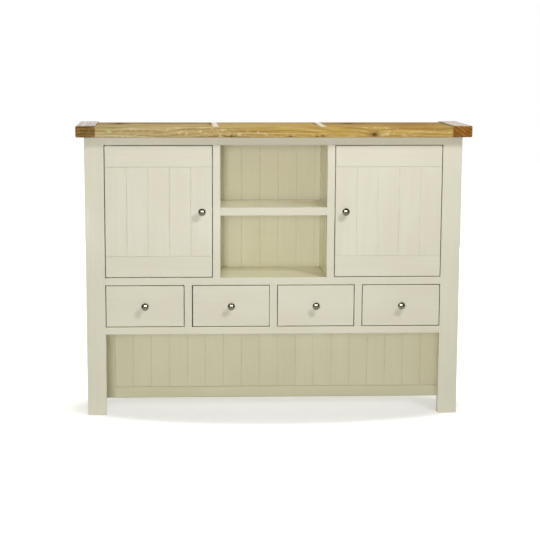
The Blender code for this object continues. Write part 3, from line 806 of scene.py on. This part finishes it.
@dataclass(frozen=True)
class MetalFinish:
    """Turned or plated metal with fine lines and a slight haze."""

    name: str
    bright: Colour
    dull: Colour
    roughness: Pair
    dirt_and_shade_share: float = 0.6
    worn_highlight_width: float = 0.0006
    dirt_and_shade_depth: float = 0.002
    relief: float = 0.00002
    rounding: float = 0.0003

    def material(self, effects: Effects) -> Material:
        """Make the metal.

        Args:
            effects: The shared node groups.

        Returns:
            The material.
        """
        graph = MaterialGraph(self.name)
        place = graph.rest()
        turning = graph.place(effects.turning, Vector=place)
        wear = graph.place(effects.wear, Vector=place, Width=self.worn_highlight_width, Depth=self.dirt_and_shade_depth)
        colour = graph.blend(graph.span(turning["Haze"], *NOISE_CORE), self.bright, self.dull)
        # Hollows darkened towards the dull colour by occlusion: tarnish and painted shade.
        colour = graph.blend(wear["Settled"], colour, self.dull, self.dirt_and_shade_share)
        rough = graph.span(turning["Haze"], *NOISE_RANGE, *self.roughness)
        return graph.surface(colour, rough, turning["Height"], self.relief, self.rounding, Metallic=1.0)


CREAM_PAINT = PaintFinish(
    name="cream_paint",
    coat=tone(230, 226, 205),
    deep=tone(226, 221, 199),
    # Near-white colour of the arrises, for wear and painted highlights.
    rubbed=tone(248, 245, 232),
    # Darker yellow colour of the hollows, for settled dirt and painted shade.
    settled=tone(186, 175, 136),
    gap=tone(112, 102, 74),
    # Painted light in the recesses: brighter and yellower than the front.
    recess_light_tint=(1.07, 1.07, 0.95, 1.0),
)
BRIDGE_PAINT = replace(CREAM_PAINT, name="bridge_paint", rounding=0.0001)
TOP_KNOTS = (
    KnotPlace((-0.154, -0.173, 1.0140), 0.0026),
    KnotPlace((0.055, -0.173, 1.0125), 0.0024),
    KnotPlace((0.150, -0.173, 1.0120), 0.0020),
    KnotPlace((0.169, -0.173, 1.0150), 0.0024),
    KnotPlace((0.353, -0.173, 1.0195), 0.0072, 0.6),
    KnotPlace((-0.557, 0.090, 1.0455), 0.0450, 2.6),
    KnotPlace((0.286, 0.090, 1.0455), 0.0420, 1.7),
    KnotPlace((-0.2225, 0.060, 1.0455), 0.0300, 6.0),
    KnotPlace((0.1620, 0.060, 1.0455), 0.0300, 6.0),
)
TOP_STREAKS = (
    HeartStreak((0.500, -0.173, 1.0420), 0.130, 0.0070, 0.55),
    HeartStreak((0.290, -0.173, 1.0400), 0.060, 0.0045, 0.28),
    HeartStreak((-0.420, -0.173, 1.0160), 0.110, 0.0050, 0.14),
)
HONEY_OAK = OakFinish(
    name="honey_oak",
    pale=tone(221, 208, 167),
    middle=tone(198, 178, 124),
    brown=tone(130, 98, 54),
    fleck=tone(232, 220, 180),
    heart=(0.0, 0.05, 0.90),
    ring_width=0.0065,
    wander=0.05,
    roughness=(0.70, 0.86),
    gold=(0.90, 0.74, 0.40, 1.0),
    tan=(0.55, 0.36, 0.20, 1.0),
    knots=TOP_KNOTS,
    streaks=TOP_STREAKS,
    ring_contrast=0.12,
    fleck_amount=0.6,
    specular=0.12,
)
# Pale oak coloured near white: painted glare on the cross strips' tops.
GLARE_STRIP_OAK = OakFinish(
    name="strip_oak",
    pale=tone(244, 240, 230),
    middle=tone(232, 224, 206),
    brown=tone(190, 170, 136),
    fleck=tone(246, 242, 232),
    heart=(0.0, 0.0, 0.99),
    ring_width=0.005,
    wander=0.02,
    roughness=(0.37, 0.53),
    fleck_amount=0.2,
)
DARK_CAP = OakFinish(
    name="dark_oak_cap",
    pale=tone(188, 149, 82),
    middle=tone(139, 101, 36),
    brown=tone(59, 37, 11),
    fleck=tone(178, 152, 104),
    heart=(0.0, -0.70, 0.82),
    ring_width=0.0110,
    wander=0.09,
    roughness=(0.12, 0.28),
    ring_contrast=0.14,
    specular=0.6,
    relief=0.00003,
)
RED_CAP = OakFinish(
    name="red_oak_cap",
    pale=tone(182, 130, 62),
    middle=tone(144, 93, 33),
    brown=tone(81, 45, 15),
    fleck=tone(180, 134, 70),
    heart=(0.0, 0.60, 0.88),
    ring_width=0.0120,
    wander=0.08,
    roughness=(0.16, 0.32),
    ring_contrast=0.12,
    relief=0.00003,
)
DRAWER_WOOD = BareWoodFinish(name="drawer_wood", pale=tone(226, 200, 156), brown=tone(180, 140, 90))
BRUSHED_NICKEL = MetalFinish("brushed_nickel", tone(196, 190, 172), tone(150, 142, 120), (0.11, 0.21))
ZINC_STEEL = MetalFinish("zinc_steel", tone(196, 198, 200), tone(146, 148, 150), (0.30, 0.40))


class Finishes:
    """The materials of every finish, made once."""

    def __init__(self, effects: Effects) -> None:
        """Make every material.

        Args:
            effects: The shared node groups.
        """
        caps = {Side.LEFT: DARK_CAP, Side.RIGHT: RED_CAP}
        self.effects = effects
        self.paint = {axis: CREAM_PAINT.material(effects, axis) for axis in (Axis.X, Axis.Z)}
        self.bridge = BRIDGE_PAINT.material(effects, Axis.X)
        self.wood = {axis: DRAWER_WOOD.material(effects, axis) for axis in (Axis.X, Axis.Y)}
        self.honey = HONEY_OAK.material(effects, Axis.X)
        self.strip = GLARE_STRIP_OAK.material(effects, Axis.Y)
        self.caps = {side: cap.material(effects, Axis.Y) for side, cap in caps.items()}
        self.nickel = BRUSHED_NICKEL.material(effects)
        self.zinc = ZINC_STEEL.material(effects)

    def boarded(self, joints: BoardJoints) -> Material:
        """Paint for a panel of upright boards, with its joints on the rear."""
        return CREAM_PAINT.material(self.effects, Axis.Z, joints)


def put(name: str, data: bpy.types.ID) -> Object:
    """Put a new object into the scene.

    Args:
        name: Name of the object.
        data: Its mesh, lamp or camera.

    Returns:
        The object.
    """
    made = bpy.data.objects.new(name, data)
    bpy.context.scene.collection.objects.link(made)
    return made


def plain_mesh(name: str, form: Form) -> Mesh:
    """Turn a form into a mesh with flat faces.

    Args:
        name: Name of the mesh.
        form: The form, which is freed.

    Returns:
        The mesh.
    """
    mesh = bpy.data.meshes.new(name)
    form.to_mesh(mesh)
    form.free()
    return mesh


def smooth_mesh(name: str, form: Form, smooth_angle: float = SMOOTH_ANGLE) -> Mesh:
    """Turn a form into a mesh that is smooth but for its sharp edges.

    Args:
        name: Name of the mesh.
        form: The form, which is freed.
        smooth_angle: Least angle of a sharp edge in degrees.

    Returns:
        The mesh.
    """
    bmesh.ops.recalc_face_normals(form, faces=form.faces)
    mesh = plain_mesh(name, form)
    mesh.shade_smooth()
    mesh.set_sharp_from_angle(angle=math.radians(smooth_angle))
    return mesh


def circle(radius: float, sides: int) -> list[Pair]:
    """Points of a circle round the origin, in order."""
    angles = (math.tau * number / sides for number in range(sides))
    return [(radius * math.cos(angle), radius * math.sin(angle)) for angle in angles]


def skin_rings(form: Form, rings: list[list[Vector]]) -> None:
    """Skin a row of closed rings and close its two ends.

    Args:
        form: The form to add to.
        rings: Rings of equally many points, in order.
    """
    rows = [[form.verts.new(point) for point in ring] for ring in rings]
    count = len(rows[0])
    for lower, upper in zip(rows, rows[1:]):
        for number in range(count):
            after = (number + 1) % count
            form.faces.new((lower[number], lower[after], upper[after], upper[number]))
    form.faces.new(rows[0][::-1])
    form.faces.new(rows[-1])


@dataclass
class Dresser:
    """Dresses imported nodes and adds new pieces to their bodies."""

    nodes: dict[str, Object]
    finishes: Finishes

    def dress(self, finish: Material, *names: str) -> None:
        """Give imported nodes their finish.

        Args:
            finish: The finish.
            names: Names of the nodes.
        """
        for name in names:
            self.nodes[name].data.materials.clear()
            self.nodes[name].data.materials.append(finish)
            LOG.info("%s takes %s", name, finish.name)

    def body_of(self, name: str) -> str:
        """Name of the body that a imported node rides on."""
        return self.nodes[name]["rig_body"]

    def piece(
        self,
        name: str,
        mesh: Mesh,
        finish: Material,
        body: str,
        slot: str,
        place: Point | Vector = (0.0, 0.0, 0.0),
        facing: Vector | None = None,
    ) -> Object:
        """Add one new piece that rides on a body.

        Args:
            name: Name of the piece.
            mesh: Its mesh.
            finish: Its finish.
            body: Body that it rides on.
            slot: Slot of the record that its finish stands for; not used.
            place: Place of the mesh's origin in the frame.
            facing: Direction that the mesh's Z is turned to, if it is turned.

        Returns:
            The new object.
        """
        mesh.materials.clear()
        mesh.materials.append(finish)
        piece = put(name, mesh)
        piece.location = place
        if facing is not None:
            piece.rotation_euler = facing.to_track_quat("Z", "Y").to_euler()
        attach(piece, body)
        LOG.info("%s rides on %s", name, body)
        return piece


@dataclass
class OakTop:
    """The staved oak field between its end caps, with two cross strips let in."""

    dresser: Dresser
    body: str = "carcass"
    lipping_depth: float = 0.024
    stave_count: int = 4
    strip_middles: tuple[float, ...] = (-0.2075, 0.1770)
    strip_width: float = 0.020
    joint_gap: float = 0.0003
    joint_easing: float = 0.0004
    rounding: float = 0.003
    rounding_steps: int = 4
    station_gap: float = 0.014
    unevenness: float = 0.0004
    uneven_waves: Point = (11.0, 17.0, 60.0)
    section_shift: Pair = (0.9, 0.013)
    row_shift: Pair = (0.37, 0.021)
    gold_share: float = 0.95
    gold_reach: float = 1.35
    stave_depths: tuple[tuple[float, ...], ...] = (
        (0.0, 0.05, 0.15, 0.70),
        (0.0, 0.0, 0.0, 0.05),
        (0.0, 0.0, 0.10, 0.30),
    )

    def build(self) -> None:
        """Build the field and its strips, and dress the caps."""
        low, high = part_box("top_field")
        low.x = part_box("top_end_cap_left")[1].x + self.joint_gap
        high.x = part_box("top_end_cap_right")[0].x - self.joint_gap
        joint = low.y + self.lipping_depth
        half = self.strip_width / 2
        strips = [(middle - half, middle + half) for middle in self.strip_middles]
        self.build_field(low, high, joint, strips)
        finishes = self.dresser.finishes
        for number, length in enumerate(strips, start=1):
            name = f"oak_cross_strip_{number}"
            form = bmesh.new()
            self.add_stave(form, length, (joint, high.y), (low.z, high.z), self.stave_count - 1)
            self.dresser.piece(name, smooth_mesh(name, form), finishes.strip, self.body, "honey_oak")
        for side in Side:
            self.dresser.dress(finishes.caps[side], f"top_end_cap_{side.value}")

    def build_field(self, low: Vector, high: Vector, joint: float, strips: list[Pair]) -> None:
        """Build the lipping along the front and the staves behind it, between the strips.

        Args:
            low: Lowest corner of the field.
            high: Highest corner of the field.
            joint: Y of the joint behind the lipping.
            strips: Ends of the cross strips along X.
        """
        starts = [low.x] + [end for start, end in strips]
        ends = [start for start, end in strips] + [high.x]
        depth = (high.y - joint) / (self.stave_count - 1)
        staves = [(0, 0, (low.x, high.x), (low.y, joint))]
        for section, length in enumerate(zip(starts, ends)):
            for row in range(1, self.stave_count):
                front = joint + depth * (row - 1)
                staves.append((section, row, length, (front, front + depth)))
        form = bmesh.new()
        marks = form.verts.layers.float_vector.new(STAVE_ATTRIBUTE)
        depths = form.verts.layers.float.new(DEPTH_ATTRIBUTE)
        for section, row, length, across in staves:
            made = len(form.verts)
            self.add_stave(form, length, across, (low.z, high.z), row)
            form.verts.ensure_lookup_table()
            for vertex in form.verts[made:]:
                vertex[marks] = self.stave_mark(vertex.co.x / high.x, section, row)
                vertex[depths] = self.stave_depths[section][row]
        mesh = smooth_mesh("oak_field", form)
        piece = self.dresser.piece("oak_field", mesh, self.dresser.finishes.honey, self.body, "honey_oak")
        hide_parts("top_field")

    def stave_mark(self, share: float, section: int, row: int) -> Vector:
        """Shift of a stave's grain along and across, and how golden it is.

        Args:
            share: Place along the top, from -1 at the left end to 1 at the right.
            section: Number of the length, from the left.
            row: Number of the stave, from the front.

        Returns:
            The shifts in metres and the share of gold.
        """
        along = self.section_shift[0] * section + self.row_shift[0] * row
        across = self.section_shift[1] * section + self.row_shift[1] * row
        rise = min(1.0, (share + 1) / self.gold_reach)
        return Vector((along, across, self.gold_share * rise * rise * (3 - 2 * rise)))

    def add_stave(self, form: Form, length: Pair, depth: Pair, height: Pair, row: int) -> None:
        """Add one stave, rounded on the arrises that show and eased on its joints.

        Args:
            form: The form to add to.
            length: Its ends along X.
            depth: Its front and back along Y.
            height: Its underside and top along Z.
            row: Number of the stave from the front.
        """
        front = self.rounding if row == 0 else self.joint_easing
        back = self.rounding if row == self.stave_count - 1 else self.joint_easing
        outline = self.stave_outline(depth, height, front, back)
        parts = max(2, round((length[1] - length[0]) / self.station_gap))
        rings = []
        for number in range(parts + 1):
            x = length[0] + (length[1] - length[0]) * number / parts
            middle = Vector((x, sum(depth) / 2, sum(height) / 2))
            ring = []
            for y, z in outline:
                waves = Vector([value * wave for value, wave in zip((x, y, z), self.uneven_waves)])
                worn = self.unevenness * (0.5 + 0.5 * noise.noise(waves))
                point = Vector((x, y, z))
                ring.append(point + (middle - point).normalized() * worn)
            rings.append(ring)
        skin_rings(form, rings)

    def stave_outline(self, depth: Pair, height: Pair, front: float, back: float) -> list[Pair]:
        """Outline of a stave's section, as points in Y and Z.

        Args:
            depth: Front and back along Y.
            height: Underside and top along Z.
            front: Radius of the two front arrises.
            back: Radius of the two back arrises.

        Returns:
            The outline's points in order.
        """
        corners = (
            (depth[0] + front, height[0] + front, front, 180),
            (depth[1] - back, height[0] + back, back, 270),
            (depth[1] - back, height[1] - back, back, 0),
            (depth[0] + front, height[1] - front, front, 90),
        )
        points = []
        for y, z, radius, first in corners:
            for step in range(self.rounding_steps + 1):
                angle = math.radians(first + 90 * step / self.rounding_steps)
                points.append((y + radius * math.cos(angle), z + radius * math.sin(angle)))
        return points


@dataclass
class TurnedKnob:
    """A turned knob with a foot, a hollowed neck, a rounded rim and a domed face, and its screw.

    The foot's profile has shares of the foot's radius with their distances from the board.
    """

    dresser: Dresser
    node: str
    board: str
    sides: int = 56
    smooth_angle: float = 50.0
    foot_radius: float = 0.0095
    foot_profile: tuple[Pair, ...] = ((0.86, 0.0003), (1.0, 0.0011), (1.0, 0.00245), (0.93, 0.0035))
    neck_radius: float = 0.0056
    neck_gap: float = 0.0012
    neck_steps: int = 14
    rim_rounding: float = 0.0016
    rim_steps: int = 13
    face_slope: float = 36.0
    face_steps: int = 18
    tip_radius: float = 0.0001

    def build(self) -> None:
        """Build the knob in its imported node's place, and its screw behind the board."""
        low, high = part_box(self.node)
        front, rear = (corner.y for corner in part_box(self.board))
        middle = Vector(((low.x + high.x) / 2, front, (low.z + high.z) / 2))
        rings = []
        for reach, forward in self.profile((high.x - low.x) / 2, front - low.y):
            rings.append([Vector((x, -forward, z)) for x, z in circle(reach, self.sides)])
        form = bmesh.new()
        skin_rings(form, rings)
        name = f"turned_{self.node}"
        mesh = smooth_mesh(name, form, self.smooth_angle)
        body = self.dresser.body_of(self.node)
        nickel = self.dresser.finishes.nickel
        knob = self.dresser.piece(name, mesh, nickel, body, "brushed_nickel", middle)
        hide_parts(self.node)
        behind = Vector((middle.x, rear, middle.z))
        FixingScrew(self.dresser, self.node.replace("knob", "knob_screw"), body, behind, BACKWARD).build()

    def profile(self, radius: float, reach: float) -> list[Pair]:
        """Profile of the knob, as points of radius and distance from the board.

        Args:
            radius: Radius of the head.
            reach: How far the face stands out from the board.

        Returns:
            The points from the board to the middle of the face.
        """
        rim = self.rim_rounding
        slope = math.radians(self.face_slope)
        face_radius = radius - rim * (1 - math.sin(slope))
        face_rise = face_radius * math.tan(slope) / 2
        rim_radius = face_radius - rim * math.sin(slope)
        rim_middle = reach - face_rise - rim * math.cos(slope)
        points = [(self.foot_radius * share, forward) for share, forward in self.foot_profile]
        neck_start = points[-1][1] + self.neck_gap
        for step in range(1, self.neck_steps + 1):
            turn = math.pi / 2 * step / self.neck_steps
            across = self.neck_radius + (rim_radius - self.neck_radius) * (1 - math.cos(turn))
            points.append((across, neck_start + (rim_middle - rim - neck_start) * math.sin(turn)))
        for step in range(1, self.rim_steps):
            turn = -math.pi / 2 + (math.pi - slope) * step / self.rim_steps
            points.append((rim_radius + rim * math.cos(turn), rim_middle + rim * math.sin(turn)))
        for step in range(self.face_steps):
            share = 1 - step / self.face_steps
            points.append((face_radius * share, reach - face_rise * share * share))
        points.append((self.tip_radius, reach))
        return points


@dataclass
class FixingScrew:
    """A cross-head screw, seen by its head alone."""

    dresser: Dresser
    name: str
    body: str
    place: Vector
    facing: Vector
    radius: float = 0.0036
    height: float = 0.0016
    sides: int = 28
    dome_shares: tuple[float, ...] = (0.0, 0.25, 0.5, 0.7, 0.85, 0.95)
    slot_width: float = 0.0009
    slot_length: float = 0.0042
    slot_depth: float = 0.0010

    def build(self) -> None:
        """Build the head and turn it to face outwards."""
        rings = []
        for share in self.dome_shares:
            reach = self.radius * math.sqrt(1 - share * share)
            rings.append([Vector((x, y, self.height * share)) for x, y in circle(reach, self.sides)])
        form = bmesh.new()
        skin_rings(form, rings)
        mesh = self.cut_cross(smooth_mesh(self.name, form))
        zinc = self.dresser.finishes.zinc
        self.dresser.piece(self.name, mesh, zinc, self.body, "zinc_steel", self.place, self.facing)

    def cut_cross(self, mesh: Mesh) -> Mesh:
        """Cut the driver's cross into a head.

        Args:
            mesh: The head, lying along Z.

        Returns:
            The head with its cross.
        """
        size = Matrix.Diagonal((self.slot_length, self.slot_width, self.slot_depth * 2, 1.0))
        up = Matrix.Translation((0.0, 0.0, self.height))
        for turn in (0.0, math.pi / 2):
            bar = bmesh.new()
            bmesh.ops.create_cube(bar, size=1.0, matrix=up @ Matrix.Rotation(turn, 4, "Z") @ size)
            cutter = put("cross_cutter", plain_mesh("cross_cutter", bar))
            head = put("screw_head", mesh)
            cut = head.modifiers.new("cross", "BOOLEAN")
            cut.operation = "DIFFERENCE"
            cut.object = cutter
            bpy.context.view_layer.update()
            whole = bpy.context.evaluated_depsgraph_get()
            mesh = bpy.data.meshes.new_from_object(head.evaluated_get(whole))
            bpy.data.objects.remove(cutter)
            bpy.data.objects.remove(head)
        return mesh


@dataclass
class FrontFrame:
    """Posts, rails and partitions that show on the front, with the paint that bridges their joints."""

    dresser: Dresser
    posts: tuple[str, ...] = ("front_post_left", "front_post_right")
    niche_uprights: tuple[str, ...] = ("niche_partition_left", "niche_partition_right")
    drawer_uprights: tuple[str, ...] = ("drawer_partition_1", "drawer_partition_2", "drawer_partition_3")
    rails: tuple[str, ...] = ("top_rail", "middle_rail", "bottom_rail")
    joint_gap: float = 0.0003
    easing: float = 0.0008
    bridge_drop: float = 0.0001
    bridge_play: float = 0.00002

    def build(self) -> None:
        """Dress the frame, with its grain along each piece, and bridge its joints."""
        paint = self.dresser.finishes.paint
        self.dresser.dress(paint[Axis.Z], *self.posts, *self.niche_uprights, *self.drawer_uprights)
        self.dresser.dress(paint[Axis.X], *self.rails)
        self.bridge_joints()

    def bridge_joints(self) -> None:
        """Lay the paint that bridges the fine joints between the frame's pieces."""
        form = bmesh.new()
        half = self.joint_gap / 2
        rails = [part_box(name) for name in self.rails]
        top, middle, bottom = rails
        for (left, right), boards in ((self.posts, rails), (self.niche_uprights, [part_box("niche_shelf")])):
            for x in (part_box(left)[1].x + half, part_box(right)[0].x - half):
                for low, high in boards:
                    self.add_bridge(form, Vector((x, low.y, low.z)), Vector((x, low.y, high.z)))
        for names, below, above in (
            (self.niche_uprights, middle, top),
            (self.drawer_uprights, bottom, middle),
        ):
            for low, high in map(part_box, names):
                for z in (below[1].z + half, above[0].z - half):
                    self.add_bridge(form, Vector((low.x, low.y, z)), Vector((high.x, low.y, z)))
        name = "frame_joint_paint"
        bridge = self.dresser.finishes.bridge
        self.dresser.piece(name, smooth_mesh(name, form), bridge, "carcass", "cream_paint")

    def add_bridge(self, form: Form, start: Vector, end: Vector) -> None:
        """Add the paint in one joint, as a wedge between the eased arrises.

        Args:
            form: The form to add to.
            start: One end of the joint on the front.
            end: Its other end.
        """
        along = (end - start).normalized()
        across = along.cross(BACKWARD)
        narrow = self.joint_gap / 2 - self.bridge_play
        wide = narrow + self.easing - self.bridge_drop
        outline = ((-wide, 0.0), (wide, 0.0), (narrow, self.easing), (-narrow, self.easing))
        rings = []
        for point in (start + along * self.easing, end - along * self.easing):
            rings.append(
                [point + across * reach + BACKWARD * (self.bridge_drop + depth) for reach, depth in outline]
            )
        skin_rings(form, rings)


@dataclass
class CarcassPanels:
    """Sides, boarded back, floors and shelves."""

    dresser: Dresser
    back_board_width: float = 0.06865
    upright: tuple[str, ...] = ("side_panel_left", "side_panel_right")
    level: tuple[str, ...] = (
        "back_foot_rail",
        "niche_shelf",
        "cupboard_floor",
        "drawer_floor",
        "cupboard_shelf_left",
        "cupboard_shelf_right",
    )

    def build(self) -> None:
        """Dress the panels, with their grain along each one."""
        finishes = self.dresser.finishes
        self.dresser.dress(finishes.paint[Axis.Z], *self.upright)
        self.dresser.dress(finishes.paint[Axis.X], *self.level)
        joints = BoardJoints("back_boards", self.back_board_width / 2, self.back_board_width)
        self.dresser.dress(finishes.boarded(joints), "back_boards")


@dataclass
class Door:
    """A door of upright boards between two clamps, with its knob and its pivots and catch."""

    dresser: Dresser
    side: Side
    board_count: int = 5

    def build(self) -> None:
        """Dress the door's boards and build its knob."""
        word = self.side.value
        finishes = self.dresser.finishes
        boards = f"door_boards_{word}"
        low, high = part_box(boards)
        joints = BoardJoints(boards, low.x, (high.x - low.x) / self.board_count)
        self.dresser.dress(finishes.boarded(joints), boards)
        clamps = (f"door_{end}_clamp_{word}" for end in ("top", "bottom"))
        pivots = (f"door_pivot_{end}_{word}" for end in ("upper", "lower"))
        self.dresser.dress(finishes.paint[Axis.X], *clamps)
        self.dresser.dress(finishes.zinc, *pivots, f"door_catch_{word}")
        TurnedKnob(self.dresser, f"door_knob_{word}", boards).build()


@dataclass
class Drawer:
    """A dovetailed drawer box behind a painted front."""

    dresser: Dresser
    number: int

    def build(self) -> None:
        """Dress the drawer's boards and build its knob."""
        finishes = self.dresser.finishes
        front = f"drawer_front_{self.number}"
        sides = (f"drawer_side_{side.value}_{self.number}" for side in Side)
        crosswise = (f"drawer_{board}_{self.number}" for board in ("back", "bottom"))
        self.dresser.dress(finishes.paint[Axis.X], front)
        self.dresser.dress(finishes.wood[Axis.Y], *sides)
        self.dresser.dress(finishes.wood[Axis.X], *crosswise)
        TurnedKnob(self.dresser, f"drawer_knob_{self.number}", front).build()


@dataclass(frozen=True)
class SoftBox:
    """A soft studio lamp, whose spread is in degrees."""

    name: str
    place: Point
    aim: Point
    width: float
    height: float
    power: float
    spread: float = 180.0
    mirrored: bool = False
    colour: Point = (1.0, 1.015, 1.15)

    def build(self) -> None:
        """Hang the lamp and aim it, shown in reflections only if it is mirrored."""
        lamp = bpy.data.lights.new(self.name, "AREA")
        lamp.shape = "RECTANGLE"
        lamp.size = self.width
        lamp.size_y = self.height
        lamp.energy = self.power
        lamp.spread = math.radians(self.spread)
        lamp.color = self.colour
        hung = put(self.name, lamp)
        hung.location = self.place
        hung.visible_glossy = self.mirrored
        hung.rotation_euler = (Vector(self.aim) - Vector(self.place)).to_track_quat("-Z", "Y").to_euler()


@dataclass
class Studio:
    """Plain pale floor, white surroundings and soft lamps."""

    mirrors: list[Object]
    floor_size: float = 24.0
    floor_parts: int = 24
    floor_drop: float = 0.0005
    floor_colour: Colour = tone(200, 200, 200)
    floor_roughness: float = 0.9
    floor_white: float = 0.49
    painted_shade_half_size: Pair = (0.62, 0.26)
    clear_far: float = 1.45
    ambient: float = 0.18
    ambient_tint: Colour = (1.0, 0.94, 0.20, 1.0)
    room_shade: float = 0.05
    room_floor: Pair = (-0.1, -0.42)
    room_wall: Pair = (-0.45, 0.15)
    card_place: Point = (0.1, -2.9, 1.70)
    card_aim: Point = (0.0, 0.0, 0.5)
    card_size: Pair = (3.2, 1.25)
    card_parts: int = 4
    card_white: float = 6.5
    lamps: tuple[SoftBox, ...] = (
        SoftBox("front_softbox", (-0.73, -7.2, 1.05), (0.0, 0.0, 0.55), 1.1, 1.9, 213.0),
        SoftBox("key_softbox", (1.05, -1.45, 2.2), (-0.63, -0.13, 0.22), 0.42, 0.42, 8.2, spread=106.0),
        SoftBox("top_softbox", (0.0, 0.35, 3.0), (0.0, 0.35, 0.0), 2.4, 1.0, 24.0, mirrored=True),
        SoftBox("back_softbox", (0.6, 5.0, 0.7), (0.0, 0.2, 0.5), 2.0, 0.6, 95.0),
        SoftBox("left_softbox", (-5.0, 1.1, 0.7), (-0.7, 0.1, 0.5), 1.6, 0.6, 62.0),
        SoftBox("right_softbox", (5.0, 1.1, 0.7), (0.7, 0.1, 0.5), 1.6, 0.6, 40.0),
    )

    def build(self) -> None:
        """Build the surroundings, the floor, the lamps and the card."""
        self.build_world()
        self.build_floor()
        for lamp in self.lamps:
            lamp.build()
        self.build_card()

    @staticmethod
    def see_white(graph: Graph, backdrop: Socket) -> tuple[Socket, Socket]:
        """White that the camera sees whole, and mirrors and clear glass as bright as the backdrop.

        Args:
            graph: Graph of the material or world.
            backdrop: Brightness of the backdrop in mirrors.

        Returns:
            Whether a ray comes from the camera, a mirror or glass, as 1 or 0, and the white it sees.
        """
        light = graph.add("ShaderNodeLightPath").outputs
        seen = graph.math("MAXIMUM", light["Is Camera Ray"], light["Is Glossy Ray"])
        seen = graph.math("MAXIMUM", seen, light["Is Transmission Ray"])
        white = graph.math("MAXIMUM", backdrop, light["Is Camera Ray"])
        return seen, graph.math("MULTIPLY", seen, white)

    @staticmethod
    def lay_sheet(name: str, size: Pair, parts: int, material: Material) -> Object:
        """Lay a flat sheet that belongs to the studio.

        Args:
            name: Its name.
            size: Its size along X and Y.
            parts: Number of its parts each way.
            material: Its material.

        Returns:
            The sheet.
        """
        form = bmesh.new()
        whole = Matrix.Diagonal((*size, 1.0, 1.0))
        bmesh.ops.create_grid(form, x_segments=parts, y_segments=parts, size=0.5, matrix=whole)
        mesh = plain_mesh(name, form)
        mesh.materials.append(material)
        laid = put(name, mesh)
        return laid

    def build_world(self) -> None:
        """Make white surroundings that light the object softly."""
        world = bpy.data.worlds.new("studio")
        bpy.context.scene.world = world
        world.use_nodes = True
        graph = Graph(world.node_tree)
        along = graph.split(graph.add("ShaderNodeTexCoord").outputs["Generated"])["Y"]
        seen, white = self.see_white(graph, graph.span(along, *self.room_wall, self.room_shade, 1.0))
        colour = graph.blend(seen, self.ambient_tint, WHITE)
        strength = graph.math("MULTIPLY_ADD", graph.math("SUBTRACT", 1.0, seen), self.ambient, white)
        graph.wire(world.node_tree.nodes["Background"], Color=colour, Strength=strength)

    def build_floor(self) -> None:
        """Lay a pale floor that keeps the object's shadow and clears to white, with a painted pool of shade
        round the object.
        """
        graph = MaterialGraph("pale_floor")
        dull = {"Roughness": self.floor_roughness, "Specular_IOR_Level": 0.0}
        graph.wire(graph.shader, Base_Color=self.floor_colour, **dull)
        place = graph.rest()
        # Within an oval round the object the floor glows less. Its real shadow shows there, in a painted pool
        # of shade that clears to white further out.
        oval = (1 / self.painted_shade_half_size[0], 1 / self.painted_shade_half_size[1], 0.0)
        away = graph.vector("LENGTH", graph.vector("MULTIPLY", place, oval))
        share = graph.span(away, 1.0, self.clear_far, self.floor_white, 1.0)
        backdrop = graph.span(graph.split(place)["Y"], *self.room_floor, 1.0, self.room_shade)
        white = graph.math("MULTIPLY", share, self.see_white(graph, backdrop)[1])
        glow = graph.wire(graph.add("ShaderNodeEmission"), Strength=white)[0]
        added = graph.add("ShaderNodeAddShader")
        graph.feed(added.inputs[0], graph.shader.outputs[0])
        graph.feed(added.inputs[1], glow)
        graph.feed(graph.end, added.outputs[0])
        size = (self.floor_size, self.floor_size)
        floor = self.lay_sheet("floor", size, self.floor_parts, graph.material)
        floor.location.z = -self.floor_drop

    def build_card(self) -> None:
        """Hang a white card before the object, which shows in its paint and metal alone."""
        graph = MaterialGraph("card_white")
        glow = graph.wire(graph.add("ShaderNodeEmission"), Strength=self.card_white)[0]
        graph.feed(graph.end, glow)
        card = self.lay_sheet("white_card", self.card_size, self.card_parts, graph.material)
        card.location = self.card_place
        facing = Vector(self.card_aim) - card.location
        card.rotation_euler = facing.to_track_quat("Z", "Y").to_euler()
        for kind in ("camera", "diffuse", "transmission", "shadow", "volume_scatter"):
            setattr(card, f"visible_{kind}", False)
        shown_in = bpy.data.collections.new("card_mirrors")
        for mirror in self.mirrors:
            shown_in.objects.link(mirror)
        card.light_linking.receiver_collection = shown_in


@dataclass(frozen=True)
class PhotoCamera:
    """Camera at the photograph's viewing angle, for a square picture."""

    place: Point = (-0.35821, -6.02209, 1.35068)
    yaw: float = 2.3467
    pitch: float = 10.0641
    roll: float = 0.0953
    focal_pixels: float = 1650.15
    middle_pixel: Pair = (241.01, 332.11)
    sensor: float = 36.0

    def build(self) -> None:
        """Set up the camera and make it the scene's own."""
        lens = bpy.data.cameras.new("photo_camera")
        lens.sensor_width = self.sensor
        lens.lens = self.focal_pixels / IMAGE_SIDE * self.sensor
        lens.shift_x = (IMAGE_SIDE / 2 - self.middle_pixel[0]) / IMAGE_SIDE
        lens.shift_y = (self.middle_pixel[1] - IMAGE_SIDE / 2) / IMAGE_SIDE
        camera = put("photo_camera", lens)
        camera.location = self.place
        camera.rotation_euler = self.rotation().to_euler()
        bpy.context.scene.camera = camera

    def rotation(self) -> Matrix:
        """Rotation of the camera, whose columns are right, up and backward."""
        level = Euler((math.radians(90 - self.pitch), 0.0, math.radians(-self.yaw))).to_matrix()
        return level @ Matrix.Rotation(math.radians(self.roll), 3, "Z")


def main() -> None:
    """Dress the whole highboard and set the studio round it."""
    logging.basicConfig(level=logging.INFO, format="%(message)s")
    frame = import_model()
    bpy.context.scene.view_settings.view_transform = "Standard"
    dresser = Dresser(frame["nodes"], Finishes(Effects()))
    PhotoCamera().build()
    OakTop(dresser).build()
    FrontFrame(dresser).build()
    CarcassPanels(dresser).build()
    for side in Side:
        Door(dresser, side).build()
    drawer_count = sum(name.startswith("drawer_front_") for name in frame["nodes"])
    for number in range(1, drawer_count + 1):
        Drawer(dresser, number).build()
    pieces = [piece for piece in bpy.context.scene.objects if piece.type == "MESH"]
    Studio([piece for piece in pieces if not piece.name.startswith(OAK_NAMES)]).build()


if __name__ == "__main__":
    main()
